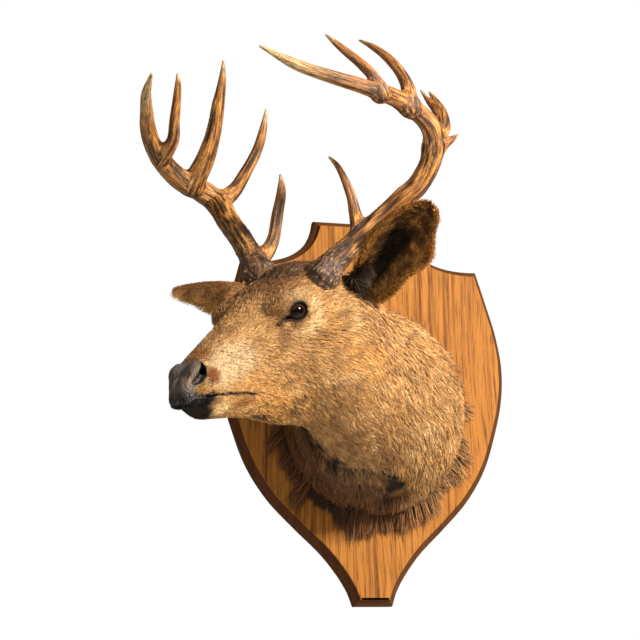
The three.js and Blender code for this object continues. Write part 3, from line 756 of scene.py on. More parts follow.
def ramp(tree, fac, stops):
    made = node(tree, "ValToRGB", sockets={"Fac": fac})
    elements = made.color_ramp.elements
    while len(elements) < len(stops):
        elements.new(0.5)
    for element, (place, colour) in zip(elements, stops):
        element.position = place
        element.color = (*colour, 1) if len(colour) == 3 else colour
    return made.outputs["Color"]


def grey(tree, fac, low, high, start=0.0, end=1.0):
    return node(tree, "MapRange", sockets={
        "Value": fac, "From Min": start, "From Max": end, "To Min": low, "To Max": high,
    }).outputs[0]


def mix(tree, fac, a, b, blend="MIX"):
    made = tree.nodes.new("ShaderNodeMix")
    made.data_type, made.blend_type = "RGBA", blend
    for socket, value in ((made.inputs[0], fac), (made.inputs[6], a), (made.inputs[7], b)):
        if isinstance(value, bpy.types.NodeSocket):
            tree.links.new(value, socket)
        elif isinstance(value, (int, float)):
            socket.default_value = value
        else:
            socket.default_value = (*value, 1)
    return made.outputs[2]


def bump(tree, shader, heights):
    """Joins several (height, strength, distance) bumps, coarse first, to a shader."""
    normal = None
    for height, strength, distance in heights:
        made = node(tree, "Bump", sockets={"Height": height, "Strength": strength, "Distance": distance})
        if normal is not None:
            tree.links.new(normal, made.inputs["Normal"])
        normal = made.outputs[0]
    tree.links.new(normal, shader.inputs["Normal"])


def place(tree):
    return node(tree, "TexCoord").outputs["Object"]


def skin_material():
    """Hide under short fur: its colour is painted by zone, fine hair shows as bump along the lie."""
    material, tree, shader = new_material("deer_skin")
    tone = attribute(tree, "coat_tone")
    lie = attribute(tree, "lie", "Vector")
    wet = attribute(tree, "bare", "Fac")
    streak = noise(tree, stretched(tree, lie, (160, 900, 900)), 1.0, 3.0)
    speck = noise(tree, place(tree), 650.0, 2.0)
    pores = node(tree, "TexVoronoi", sockets={"Vector": place(tree), "Scale": 430.0}).outputs["Distance"]
    dark = mix(tree, 1.0, tone, (0.55, 0.5, 0.45), "MULTIPLY")
    furred = mix(tree, grey(tree, streak, 0.0, 1.0, 0.32, 0.68), dark, tone)
    # the pebbles' lighter middles are painted highlights on the nose pad
    pebbles_painted_highlight = mix(tree, grey(tree, pores, 0.75, 0.0, 0.0, 0.5), tone, (0.19, 0.155, 0.125))
    colour = mix(tree, wet, furred, pebbles_painted_highlight)
    tree.links.new(colour, shader.inputs["Base Color"])
    rough = mix(tree, wet, (0.82, 0.82, 0.82), (0.38, 0.38, 0.38))
    varied = mix(tree, grey(tree, speck, 0.0, 0.3), rough, (0.55, 0.55, 0.55))
    tree.links.new(varied, shader.inputs["Roughness"])
    shader.inputs["Specular IOR Level"].default_value = 0.28
    bump(tree, shader, [(streak, 0.55, 0.0012), (pores, 0.8, 0.0009)])
    return material


def antler_material():
    """Bone with long grooves, stained dark in the hollows and rubbed pale on ridges and tips."""
    material, tree, shader = new_material("antler_bone")
    grain = attribute(tree, "grain", "Vector")
    tone = attribute(tree, "tone")
    long_grain = noise(tree, stretched(tree, grain, (1.0, 1.0, 0.07)), 0.62, 4.0, 0.6)
    fine = noise(tree, stretched(tree, grain, (1.0, 1.0, 0.07)), 1.5, 3.0, 0.65)
    blotch = noise(tree, grain, 0.07, 2.0)
    stain = ramp(tree, long_grain, [
        (0.34, (0.16, 0.11, 0.08)), (0.46, (0.70, 0.62, 0.52)), (0.60, (1.3, 1.2, 1.05))])
    colour = mix(tree, 1.0, tone, stain, "MULTIPLY")
    colour = mix(tree, grey(tree, fine, 0.0, 0.85, 0.50, 0.66), colour, (0.060, 0.024, 0.008))
    colour = mix(tree, grey(tree, blotch, 0.0, 0.35, 0.45, 0.8), colour, (0.30, 0.16, 0.06))
    tree.links.new(colour, shader.inputs["Base Color"])
    tree.links.new(grey(tree, fine, 0.34, 0.62), shader.inputs["Roughness"])
    bump(tree, shader, [(long_grain, 0.75, 0.0022), (fine, 0.5, 0.0008)])
    return material


def oak_material():
    """Varnished oak: flat-sawn growth bands with long pores, running up the board."""
    material, tree, shader = new_material("varnished_oak")
    at = place(tree)
    wander = noise(tree, stretched(tree, at, (5.0, 5.0, 1.1)), 1.0, 2.0)
    shift = node(tree, "CombineXYZ", sockets={"X": grey(tree, wander, -0.03, 0.03)}).outputs[0]
    bent = node(tree, "VectorMath", operation="ADD", sockets={0: at, 1: shift}).outputs[0]
    bands = noise(tree, stretched(tree, bent, (95.0, 40.0, 1.6)), 1.0, 4.0, 0.65)
    pores = noise(tree, stretched(tree, bent, (800.0, 300.0, 22.0)), 1.0, 2.0, 0.6)
    rays = noise(tree, stretched(tree, bent, (220.0, 120.0, 60.0)), 1.0, 2.0)
    base = ramp(tree, bands, [
        (0.36, (0.115, 0.036, 0.006)), (0.44, (0.285, 0.108, 0.019)), (0.56, (0.36, 0.142, 0.027)),
        (0.66, (0.19, 0.064, 0.011)),
    ])
    base = mix(tree, grey(tree, pores, 0.0, 0.85, 0.54, 0.66), base, (0.085, 0.026, 0.006))
    base = mix(tree, grey(tree, rays, 0.0, 0.25, 0.5, 0.8), base, (0.38, 0.150, 0.028))
    # painted shade: the board's edges darkened nearly to black
    edge = attribute(tree, "edge", "Fac")
    base = mix(tree, grey(tree, edge, 0.0, 0.88), base, (0.050, 0.016, 0.005))
    tree.links.new(base, shader.inputs["Base Color"])
    tree.links.new(grey(tree, bands, 0.60, 0.75), shader.inputs["Roughness"])
    shader.inputs["Specular IOR Level"].default_value = 0.10
    bump(tree, shader, [(bands, 0.10, 0.001), (pores, 0.35, 0.0004)])
    return material


def eye_material():
    """A glass eye: a wide dark pupil in a deep brown iris under a clear front."""
    material, tree, shader = new_material("glass_eye")
    pupil = attribute(tree, "pupil", "Fac")
    fibres = noise(tree, place(tree), 900.0, 3.0)
    iris = mix(tree, fibres, (0.014, 0.006, 0.003), (0.040, 0.016, 0.007))
    colour = mix(tree, grey(tree, pupil, 0.0, 1.0), (0.0015, 0.0015, 0.002), iris)
    tree.links.new(colour, shader.inputs["Base Color"])
    tree.links.new(grey(tree, fibres, 0.04, 0.08), shader.inputs["Roughness"])
    shader.inputs["Specular IOR Level"].default_value = 0.02
    shader.inputs["Coat Weight"].default_value = 0.22
    shader.inputs["Coat Roughness"].default_value = 0.02
    return material


def coat_material():
    """Deer hair: each tuft has its own tone, dark at the root and lighter at the tip."""
    material, tree, shader = new_material("deer_coat")
    tone = attribute(tree, "coat_tone")
    speck = noise(tree, place(tree), 420.0, 2.0)
    dark = mix(tree, 1.0, tone, (0.62, 0.58, 0.54), "MULTIPLY")
    colour = mix(tree, grey(tree, speck, 0.0, 1.0, 0.3, 0.6), dark, tone)
    tree.links.new(colour, shader.inputs["Base Color"])
    tree.links.new(grey(tree, speck, 0.50, 0.72), shader.inputs["Roughness"])
    shader.inputs["Specular IOR Level"].default_value = 0.25
    return material


# ------------------------------------------------------------------ markings

TAN, GOLD, CREAM = linear((198, 150, 92)), linear((214, 158, 84)), linear((236, 204, 148))
PALE, RUST, BROWN = linear((222, 194, 150)), linear((134, 74, 24)), linear((112, 72, 40))
DARK, BLACK, NOSE = linear((60, 40, 26)), linear((20, 16, 14)), linear((92, 80, 69))
# painted shade colour of the hair below the throat ridge
UNDERSIDE_SHADE = linear((104, 62, 26))
LID, GREYISH = linear((48, 34, 30)), linear((168, 128, 88))


def zone(h, centre, radii, soft=0.3):
    q = np.linalg.norm((h - np.array(centre, float)) / np.array(radii, float), axis=1)
    return 1 - fade(q, 1 - soft, 1 + soft)


def painted(colour, mask, over):
    return colour + (over - colour) * mask[:, None]


def patched(colour, h, patches):
    """Paints soft oval patches one after another: strength, centre, radii, softness, tone."""
    for strength, centre, radii, soft, tone in patches:
        colour = painted(colour, strength * zone(h, centre, radii, soft), tone)
    return colour


def bare_mask(h):
    """1 on the naked nose pad and lips."""
    folded = mirrored(h)
    f, l, u = folded.T
    edge = np.interp(-u, [-5, 3, 10.6, 21.8, 28, 34, 44], [148, 152.5, 158, 169, 178, 184, 190])
    behind = f - edge + 1.2 * noise3(folded * 0.14, 3)
    pad = fade(behind, -1.2, 1.2) * fade(u, -44, -38)
    line = mouth_line(f)
    lips = bell(u - line, 2.2) * fade(f, 98, 108)
    return np.maximum(pad, fade(lips, 0.35, 0.7))


def markings(p, h):
    """The animal's colours by place, in linear values, with painted shade and light where noted below."""
    folded = mirrored(h)
    f, l, u = folded.T
    broad = fractal(p * 0.014, 11)
    fine = fractal(p * 0.06, 23)
    colour = np.tile(TAN, (len(p), 1))
    colour = painted(colour, fade(broad + 0.6 * fine, 0.0, 0.7), GOLD)
    colour = painted(colour, 0.45 * fade(-broad + 0.7 * fine, 0.15, 0.8), BROWN)
    # neck: warmer and darker low down and close to the board, partly hair colour and partly painted shade on its
    # underside and back
    neck = fade(-f, 60, 120)
    colour = painted(colour, neck * 0.35 * fade(-p[:, 2] + 16 * fine, 10, 120), BROWN)
    colour = painted(colour, neck * 0.6 * fade(p[:, 1] + 14 * fine, -95, -28), BROWN)
    # painted shade below the throat ridge: browner hair behind the dark hollow under the throat
    behind = p @ np.array([-0.55, 0.35, -0.75]) + 10 * fine
    colour = painted(colour, 0.75 * fade(behind, 92, 122), BROWN)
    # grey-brown forehead, crown and bridge
    forehead = fade(u + 7 * fine - 0.28 * np.abs(f - 10), 18, 34)
    forehead = forehead * (1 - fade(l, 30, 46)) * (1 - fade(f, 40, 95))
    colour = painted(colour, 0.72 * forehead, BROWN)
    colour = painted(colour, 0.8 * zone(h, (-36, 4, 52), (46, 50, 22), 0.5), DARK)
    colour = painted(colour, 0.62 * zone(folded, (10, 44, 28), (36, 24, 18), 0.7), BROWN)
    bridge = (1 - fade(l, 8, 18)) * fade(u, -6, 6) * fade(f, 70, 110)
    colour = painted(colour, 0.3 * bridge, GREYISH)
    # pale ring round the eye and over the brow
    colour = patched(colour, folded, [
        (0.15, (12, 52, 20), (26, 20, 13), 0.5, CREAM),
        (0.7, (-12, 62, 2), (7, 14, 15), 0.5, CREAM),
        (0.45, (6, 58, -14), (22, 18, 9), 0.5, CREAM),
    ])
    # long soft streaks down the face, partly hair tone and partly painted shade and light of the locks, and small dark
    # marks behind the eye, painted shade of its wrinkles
    locks = fractal(h * np.array([0.028, 0.12, 0.12]) + 0.3 * broad[:, None], 43)
    colour = painted(colour, 0.42 * fade(locks, 0.02, 0.5), BROWN)
    colour = painted(colour, 0.30 * fade(-locks, 0.10, 0.5), CREAM)
    for spot, size in (((-35, 75, -29), (3, 6, 8)), ((-80, 62, -28), (7, 8, 9))):
        colour = painted(colour, 0.8 * zone(folded, spot, size, 0.5), DARK)
    # pale side of the muzzle, dark whisker roots on it
    muzzle = zone(folded, (128, 34, -18), (40, 22, 24), 0.4)
    colour = painted(colour, 0.8 * muzzle, PALE)
    colour = painted(colour, 0.5 * zone(folded, (112, 34, -48), (34, 24, 15), 0.5), GOLD)
    specks = fade(noise3(folded * 0.42, 31), 0.50, 0.66) * zone(folded, (140, 30, -14), (34, 24, 24), 0.3)
    colour = painted(colour, 0.75 * specks, DARK)
    # rust patches behind the nostril and above the nose
    colour = patched(colour, folded, [
        (0.95, (155, 29, -21), (8, 10, 10), 0.5, RUST),
        (0.7, (143, 6, 3), (11, 13, 9), 0.6, RUST),
        (0.6, (118, 26, -66), (12, 10, 6), 0.6, RUST),
    ])
    # dark cheek streaks and the darker underside of the jaw: painted shade under the jaw, over ragged dark locks along
    # its lower edge
    colour = painted(colour, 0.35 * fade(-u + 8 * fine, 78, 112) * fade(f, -60, 10), BROWN)
    streaks = fade(fractal(h * np.array([0.05, 0.16, 0.16]), 37), -0.15, 0.35)
    colour = painted(colour, 0.85 * streaks * zone(folded, (84, 18, -98), (80, 36, 16), 0.5), DARK)
    # chin: dark front, partly dark hair and partly painted shade under the overhanging upper lip, with a pale patch
    # beside it, dark lips
    colour = patched(colour, folded, [
        (0.95, (176, 8, -62), (16, 22, 19), 0.3, BLACK * 0.6),
        (0.8, (150, 22, -64), (13, 14, 9), 0.5, CREAM),
    ])
    line = mouth_line(f)
    lips = bell(u - line, 2.6) * fade(f, 86, 100)
    colour = painted(colour, 0.95 * fade(lips, 0.2, 0.7), BLACK)
    colour = patched(colour, folded, [
        (0.7, (157, 26, -50), (9, 9, 3.4), 0.4, GREYISH * 0.6),
        (0.95, (147, 27, -53), (2.2, 9, 4.6), 0.3, CREAM),
    ])
    # painted shade below the throat ridge: brown hair below the throat, black in the hollow and in spots under it;
    # black at the foot of the ear, painted shade between the ear and the antler
    share, angle, _ = np.array(THROAT_HOLLOW[:4], float).T
    along, degrees = round_neck(p)
    behind = np.interp(degrees, angle, share) - along + 0.05 * fine
    painted_shade_below_throat = 0.9 * fade(behind, 0.0, 0.12) * (1 - fade(degrees, 8, 26)) * fade(degrees, -110, -80)
    colour = painted(colour, painted_shade_below_throat, UNDERSIDE_SHADE * 0.8)
    colour = painted(colour, 0.98 * (1 - fade(throat_gap(p) + 18 * fine, 15, 27)), DARK * 0.08)
    # dark spots of painted shade below the throat hollow
    tufts = to_path(p, *on_neck(SHADE_SPOTS_ROUND)) + 18 * fine
    colour = painted(colour, 0.95 * (1 - fade(tufts, 12, 24)), DARK * 0.12)
    # painted shade at the foot of the ear, between the ear and the antler
    colour = painted(colour, 0.95 * (1 - fade(capsules(h, EAR_BASE), 3, 13)), DARK * 0.25)
    # lids and the pit before the eye
    forward, up, out = eye_plane(folded)
    opening = eye_opening(forward, up)
    near_eye = fade(out, 0, 6)
    colour = painted(colour, near_eye * (1 - fade(opening, 1.6, 3.2)), LID)
    colour = painted(colour, 0.9 * zone(folded, (45.5, 47, 2), (5, 6, 3.6), 0.4), DARK)
    # nose pad
    colour = painted(colour, bare_mask(h) * (f > 146), NOSE)
    colour = painted(colour, 0.75 * bell(to_path(folded, *NOSTRIL_RIM), 2.0), GREYISH)
    # black under the front of the upper lip and on its roll: partly dark lip, partly painted shade under the lip's
    # overhang and in the mouth's gap
    front_lip = fade(-u + 2 * fine, 23, 33) * zone(folded, (192, 6, -38), (24, 19, 22), 0.3)
    colour = painted(colour, front_lip, BLACK * 0.6)
    colour = painted(colour, zone(folded, (170, 20, -43), (15, 14, 7), 0.4), BLACK * 0.5)
    # dark line of painted shade in the crease from the nose's wing down to the lip
    crease = to_path(folded, (160, 28, -24), (163, 28, -34), (162, 27, -42))
    colour = painted(colour, 0.8 * bell(crease, 1.3), DARK)
    # painted shade inside the nostril holes
    holes = np.minimum(capsules(folded, NOSTRIL), capsules(folded, NOSTRIL_DEEP))
    colour = painted(colour, 1 - fade(holes, 0.9, 2.1), BLACK * 0.3)
    return colour


# ------------------------------------------------------------------ skin with ears


def ear_axes(shape):
    start = from_head(shape["root"])
    along = from_head(shape["tip"]) - start
    length = np.linalg.norm(along)
    along = along / length
    out = head_direction(shape["faces"])
    out = unit(out - (out @ along) * along)
    return start, along, np.cross(along, out), out, length


def ear_shell(shape, rows=44, across_steps=30):
    """A cupped ear as a closed thin wall, with a rolled edge near the root and soft ripples."""
    start, along, across, out, length = ear_axes(shape)
    rings = []
    for s in np.linspace(0, 0.985, rows):
        width, depth = table_at(EAR_SECTIONS, [s])[0]
        width, depth = width * shape["wide"] - 3.0, depth * shape["deep"]
        x = np.linspace(-1, 1, across_steps)
        ripple = 0.9 * np.sin(9 * s + 2.2 * x) * (1 - x ** 2)
        lift = 2.4 - depth * np.maximum(1 - x ** 2, 0) ** 0.8 + ripple
        wall = 2.2 * np.sqrt(np.maximum(1 - x ** 2, 0)) + 0.7
        fold = 1.0 + 0.10 * np.sin(14 * s) * (x > 0.6)
        side = (x * width / 2 * fold)[:, None] * across
        rear = start + s * length * along + side + (lift - 0.35 * wall)[:, None] * out
        front = start + s * length * along + side * 0.985 + (lift + 0.65 * wall)[:, None] * out
        rings.append(np.concatenate([rear, front[::-1]]))
    rings = np.array(rings)
    sides = rings.shape[1]
    points = np.concatenate([rings.reshape(-1, 3), rings[0].mean(0)[None],
                             (rings[-1].mean(0) + along * 1.5)[None]])
    i, j = np.meshgrid(np.arange(rows - 1), np.arange(sides), indexing="ij")
    a, b = i * sides + j, i * sides + (j + 1) % sides
    a, b = a.ravel(), b.ravel()
    tris = [np.stack([a, b, a + sides], 1), np.stack([b, b + sides, a + sides], 1)]
    j = np.arange(sides)
    last = (rows - 1) * sides
    tris.append(np.stack([np.full(sides, len(points) - 2), (j + 1) % sides, j], 1))
    tris.append(np.stack([np.full(sides, len(points) - 1), last + j, last + (j + 1) % sides], 1))
    tris = np.concatenate(tris)
    volume = (points[tris[:, 0]] * np.cross(points[tris[:, 1]], points[tris[:, 2]])).sum()
    return points, (tris if volume > 0 else tris[:, ::-1])


def ear_place(p, shape):
    """Share along the ear, -1..1 across it, and height over its cup's middle surface."""
    start, along, across, out, length = ear_axes(shape)
    d = p - start
    s = (d @ along) / length
    width, depth = table_at(EAR_SECTIONS, np.clip(s, 0, 1)).T
    width = width * shape["wide"]
    x = np.clip((d @ across) / (width / 2), -1.05, 1.05)
    middle = -depth * shape["deep"] * np.maximum(1 - x ** 2, 0) ** 0.8
    return s, x, d @ out - middle - 2.4


def ear_colour(p, normal, shape):
    """Light brown back, brightened as painted light, black hollow darkened as painted shade deep in the cup, with
    brown and golden hair round it, golden rims.
    """
    s, x, _ = ear_place(p, shape)
    out = ear_axes(shape)[3]
    inside = fade(normal @ out, -0.1, 0.35)
    fine = fractal(p * 0.08, 41)
    # painted light: the back's tan and brown are brightened 1.9 times, as the back faces away from the key light
    colour = painted(np.tile(TAN, (len(p), 1)), 0.6 * fade(fine, -0.1, 0.5), BROWN) * 1.9
    colour = painted(colour, 0.35 * fade(s, 0.75, 1.0), BROWN)
    hollow = painted(np.tile(BROWN, (len(p), 1)), fade(fine, -0.2, 0.4) * 0.8, GOLD)
    # painted shade: black deep in the ear's cup
    deep = (1 - fade(np.abs(x + 0.05), 0.32, 0.66)) * (1 - fade(np.abs(s - 0.36), 0.18, 0.36))
    hollow = painted(hollow, 0.95 * deep, BLACK * 0.3)
    colour = painted(colour, inside, hollow)
    return painted(colour, 0.8 * fade(np.abs(x), 0.7, 0.92), GOLD * 1.2)


def lie_of_hair(p, h, normal):
    """Direction in which the hair lies, along the surface."""
    folded_sign = np.sign(h[:, 1] + 1e-6)
    f, l, u = h[:, 0], np.abs(h[:, 1]), h[:, 2]
    back = np.zeros((len(p), 3))
    back[:, 0] = -1.0
    low = fade(-u, -8, 70)
    back[:, 2] = -0.15 - 0.75 * low * (1 - fade(f, 120, 165))
    back[:, 1] = folded_sign * (0.25 * fade(u, 10, 40) * fade(l, 4, 24))
    brow = np.exp(-(((f - 10) / 34) ** 2 + ((u - 30) / 22) ** 2))
    back[:, 2] += 0.9 * brow
    head_way = back @ AXES
    t, centre, along, side, up = neck_frame(p)
    radial = unit(p - centre)
    neck_way = -0.85 * along + np.array([0, 0, -0.62])
    neck_way = neck_way + radial * (0.9 * fade(p[:, 1], -60, -26))[:, None]
    share = fade(-f, 35, 120)[:, None]
    way = unit(head_way) * (1 - share) + unit(neck_way) * share
    swirl = np.stack([fractal(p * 0.022, 51, 2), fractal(p * 0.022, 61, 2), fractal(p * 0.022, 71, 2)], 1)
    way = way + 0.42 * swirl
    way = way - (way * normal).sum(1, keepdims=True) * normal
    return unit(way)


def build_skin():
    low = np.min([np.array(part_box(n)[0]) for n in ("neck", "head", "lower_jaw", "nose")], axis=0) / MM - 6
    high = np.max([np.array(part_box(n)[1]) for n in ("neck", "head", "lower_jaw", "nose")], axis=0) / MM + 6
    points, tris = surface_nets(skin_field, low, high, 3.0)
    points = settle(skin_field, points)

    def longest(p):
        h = to_head(p)
        folded = mirrored(h)
        eye = np.linalg.norm(folded - EYE_CENTRE - 13 * EYE_OUT, axis=1)
        nose = np.linalg.norm(folded - np.array([172, 20, -22]), axis=1)
        pit = np.linalg.norm(folded - np.array([42, 47, 1]), axis=1)
        size = np.full(len(p), 9.0)
        size = np.where(h[:, 0] > 60, 3.0, size)
        size = np.where((h[:, 0] > 140) | (nose < 34), 1.6, size)
        return np.where((eye < 23) | (pit < 12), 0.95, size)

    for _ in range(4):
        points, tris, old = refine(points, tris, longest)
        points[old:] = settle(skin_field, points[old:], 3, 0.8)
    h = to_head(points)
    normal = unit(gradient(skin_field, points, 0.6))
    colour = markings(points, h)
    bare = bare_mask(h)
    lie = lie_of_hair(points, h, normal)
    count = len(points)
    for shape in (EAR_LEFT, EAR_RIGHT):
        more, faces = ear_shell(shape)
        tris = np.concatenate([tris, faces + len(points)])
        points = np.concatenate([points, more])
    thing = make_mesh("skin", points, tris)
    mesh = thing.data
    normals = np.zeros(len(points) * 3, np.float32)
    mesh.vertices.foreach_get("normal", normals)
    normals = normals.reshape(-1, 3).astype(float)
    ears = []
    start = count
    for shape in (EAR_LEFT, EAR_RIGHT):
        size = (len(points) - count) // 2
        part = slice(start, start + size)
        ears.append(ear_colour(points[part], normals[part], shape))
        start += size
    set_colour(mesh, "coat_tone", np.concatenate([colour] + ears) * 0.8)
    set_value(mesh, "bare", np.concatenate([bare, np.zeros(len(points) - count)]))
    # place in the head's axes: short hair lies along the first of them
    set_vector(mesh, "lie", to_head(points) * MM)
    mesh.materials.append(skin_material())
    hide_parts("neck", "head", "lower_jaw", "nose", "ear_left", "ear_right")
    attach(thing, "root")
    return thing, count, points, tris, normals


# ------------------------------------------------------------------ antlers


class Branch:
    """A tapering bent branch: centre line, radius and a frame carried along it, in head coordinates."""

    def __init__(self, rows, start=0.0):
        table = np.column_stack([np.arange(len(rows)), np.array(rows, float)])
        steps = max(8, int(3.2 * len(rows)))
        values = table_at(table, np.linspace(0, len(rows) - 1, steps))
        self.centre, self.radius = values[:, :3], values[:, 3]
        along = unit(np.gradient(self.centre, axis=0))
        x = unit(np.cross(along[0], [0, 0, 1.0]))
        self.x, self.y = [], []
        for a in along:
            x = unit(x - (x @ a) * a)
            self.x.append(x)
            self.y.append(np.cross(a, x))
        self.x, self.y = np.array(self.x), np.array(self.y)
        gaps = np.linalg.norm(np.diff(self.centre, axis=0), axis=1)
        self.arc = start + np.concatenate([[0], np.cumsum(gaps)])
        self.low = self.centre.min(0) - 30
        self.high = self.centre.max(0) + 30

    def nearest(self, h):
        best = np.full(len(h), 1e9)
        where = np.zeros(len(h))
        for i in range(len(self.centre) - 1):
            a, ab = self.centre[i], self.centre[i + 1] - self.centre[i]
            s = np.clip(((h - a) @ ab) / (ab @ ab), 0, 1)
            d = np.sqrt(((h - a - s[:, None] * ab) ** 2).sum(1)) - self.radius[i] \
                - s * (self.radius[i + 1] - self.radius[i])
            closer = d < best
            best[closer] = d[closer]
            where[closer] = i + s[closer]
        return best, where

    def local(self, h, where):
        """Offsets from the centre line and arc length."""
        steps = np.arange(len(self.centre))
        at = np.stack([np.interp(where, steps, self.centre[:, k]) for k in range(3)], 1)
        x = np.stack([np.interp(where, steps, self.x[:, k]) for k in range(3)], 1)
        y = np.stack([np.interp(where, steps, self.y[:, k]) for k in range(3)], 1)
        d = h - at
        return ((d * x).sum(1), (d * y).sum(1), np.interp(where, steps, self.arc),
                np.interp(where, steps, self.radius), where / (len(self.centre) - 1))


def build_antler(name, beam, tines, nodes, pale):
    branches = [Branch(beam)] + [Branch(rows, 140.0) for rows in tines]

    def field(p):
        h = to_head(p)
        d = np.full(len(p), 60.0)
        for i, branch in enumerate(branches):
            close = ((h > branch.low) & (h < branch.high)).all(1)
            if not close.any():
                continue
            value = branch.nearest(h[close])[0]
            d[close] = soft_min(d[close], value, 7.0) if i else np.minimum(value, 60.0)
        return d

    low = np.min([np.array(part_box(n)[0]) for n in nodes], axis=0) / MM - 5
    high = np.max([np.array(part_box(n)[1]) for n in nodes], axis=0) / MM + 5
    points, tris = surface_nets(field, low, high, 1.75, block=6)
    points = settle(field, points, 2)
    normal = unit(gradient(field, points, 0.5))
    h = to_head(points)
    best = np.full(len(h), 1e9)
    x, y, arc, radius, share = (np.zeros(len(h)) for _ in range(5))
    for number, branch in enumerate(branches):
        d, where = branch.nearest(h)
        closer = d < best - (0.5 if number else 0)
        best[closer] = d[closer]
        got = branch.local(h[closer], where[closer])
        for store, value in zip((x, y, arc, radius, share), got):
            store[closer] = value
    grain = np.stack([x, y, arc], 1)
    coarse = noise3(grain / np.array([3.6, 3.6, 46.0]), 5)
    medium = noise3(grain / np.array([1.9, 1.9, 24.0]), 6)
    knots = noise3(grain / np.array([9.0, 9.0, 16.0]), 7)
    rough = np.clip(radius / 13, 0.25, 1.2) * (1 - 0.8 * fade(share, 0.72, 1.0))
    ridge = (0.5 - np.abs(coarse) * 2.0) * rough + 0.42 * medium * rough + 0.45 * knots * rough
    base = 1 - fade(arc, 36, 105)
    cell = np.floor(h / 4.6)
    jitter = np.stack([hash3(cell, 80 + k) for k in range(3)], 1)
    centre = (cell + 0.3 + 0.4 * jitter) * 4.6
    pearl = np.maximum(0, 1 - np.linalg.norm(h - centre, axis=1) / 2.5) * (hash3(cell, 90) > 0.42)
    burr = bell(arc - branches[0].arc[3], 5.5)
    teeth = 0.5 + 0.9 * noise3(np.stack([np.arctan2(y, x) * 4.2, arc * 0.12, np.zeros(len(h))], 1), 9)
    height = ridge + 2.0 * pearl * base + 2.6 * burr * np.maximum(teeth, 0)
    points = points + normal * height[:, None] * 0.85
    low_tone, mid_tone = linear((96, 66, 46)), linear((176, 120, 56) if pale else (168, 110, 50))
    tone = painted(np.tile(low_tone, (len(h), 1)), fade(arc, 30, 150), mid_tone)
    tone = painted(tone, fade(share, 0.80, 0.98), linear((214, 186, 138)))
    tone = painted(tone, 0.9 * fade(ridge, 0.05, 0.6) * fade(arc, 20, 90), linear((226, 168, 90)))
    tone = painted(tone, 0.95 * fade(-ridge, 0.0, 0.45), linear((46, 25, 13)))
    tone = painted(tone, 0.9 * fade(pearl, 0.25, 0.7) * base, linear((186, 160, 118)))
    thing = make_mesh(name, points, tris)
    set_colour(thing.data, "tone", tone)
    set_vector(thing.data, "grain", grain)
    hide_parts(*nodes)
    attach(thing, "root")
    return thing


# ------------------------------------------------------------------ eyes


def build_eye(name, sign, material, rings=40, sides=64):
    """A ball with a raised clear front; the pupil lies level."""
    angle = np.linspace(0, math.pi, rings)
    turn = np.arange(sides) * 2 * math.pi / sides
    radius = EYE_RADIUS + 0.9 * np.exp(-(angle / 0.5) ** 2)
    out = np.repeat(radius * np.cos(angle), sides)
    flat = np.repeat(radius * np.sin(angle), sides)
    forward, up = flat * np.tile(np.cos(turn), rings), flat * np.tile(np.sin(turn), rings)
    local = EYE_CENTRE + forward[:, None] * EYE_FORWARD + up[:, None] * EYE_UP + out[:, None] * EYE_OUT
    local[:, 1] *= sign
    i, j = np.meshgrid(np.arange(rings - 1), np.arange(sides), indexing="ij")
    a, b = (i * sides + j).ravel(), (i * sides + (j + 1) % sides).ravel()
    faces = np.stack([a, b, b + sides, a + sides], 1)
    faces = faces[:, ::-1] if sign > 0 else faces
    thing = make_mesh(name, from_head(local), faces)
    pupil = np.sqrt((forward / 8.2) ** 2 + (up / 4.6) ** 2)
    set_value(thing.data, "pupil", fade(pupil, 0.85, 1.15))
    thing.data.materials.append(material)
    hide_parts(name.replace("ball", "eye"))
    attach(thing, "root")


# ------------------------------------------------------------------ board


def plaque_outline(steps=110, scallop=16):
    t = np.arange(scallop) / scallop
    corner = np.array([PLAQUE_FLAT_TOP_HALF, PLAQUE_TOP])
    bend, shoulder = np.array(PLAQUE_SCALLOP), np.array([PLAQUE_SIDE[0][1], PLAQUE_SHOULDER])
    t = t[:, None]
    top = (1 - t) ** 2 * corner + 2 * t * (1 - t) * bend + t * t * shoulder
    z = np.linspace(PLAQUE_SHOULDER, PLAQUE_SIDE[-1][0], steps)
    half = table_at([(-height, width) for height, width in PLAQUE_SIDE], -z)[:, 0]
    right = np.concatenate([top, np.stack([half, z], 1)])
    return np.concatenate([right, right[::-1] * [-1, 1]])


def inset(outline, distance):
    before = unit(outline - np.roll(outline, 1, axis=0))
    after = unit(np.roll(outline, -1, axis=0) - outline)
    a = np.stack([before[:, 1], -before[:, 0]], 1)
    b = np.stack([after[:, 1], -after[:, 0]], 1)
    return outline + (a + b) * (distance / np.maximum(0.6, 1 + (a * b).sum(1)))[:, None]


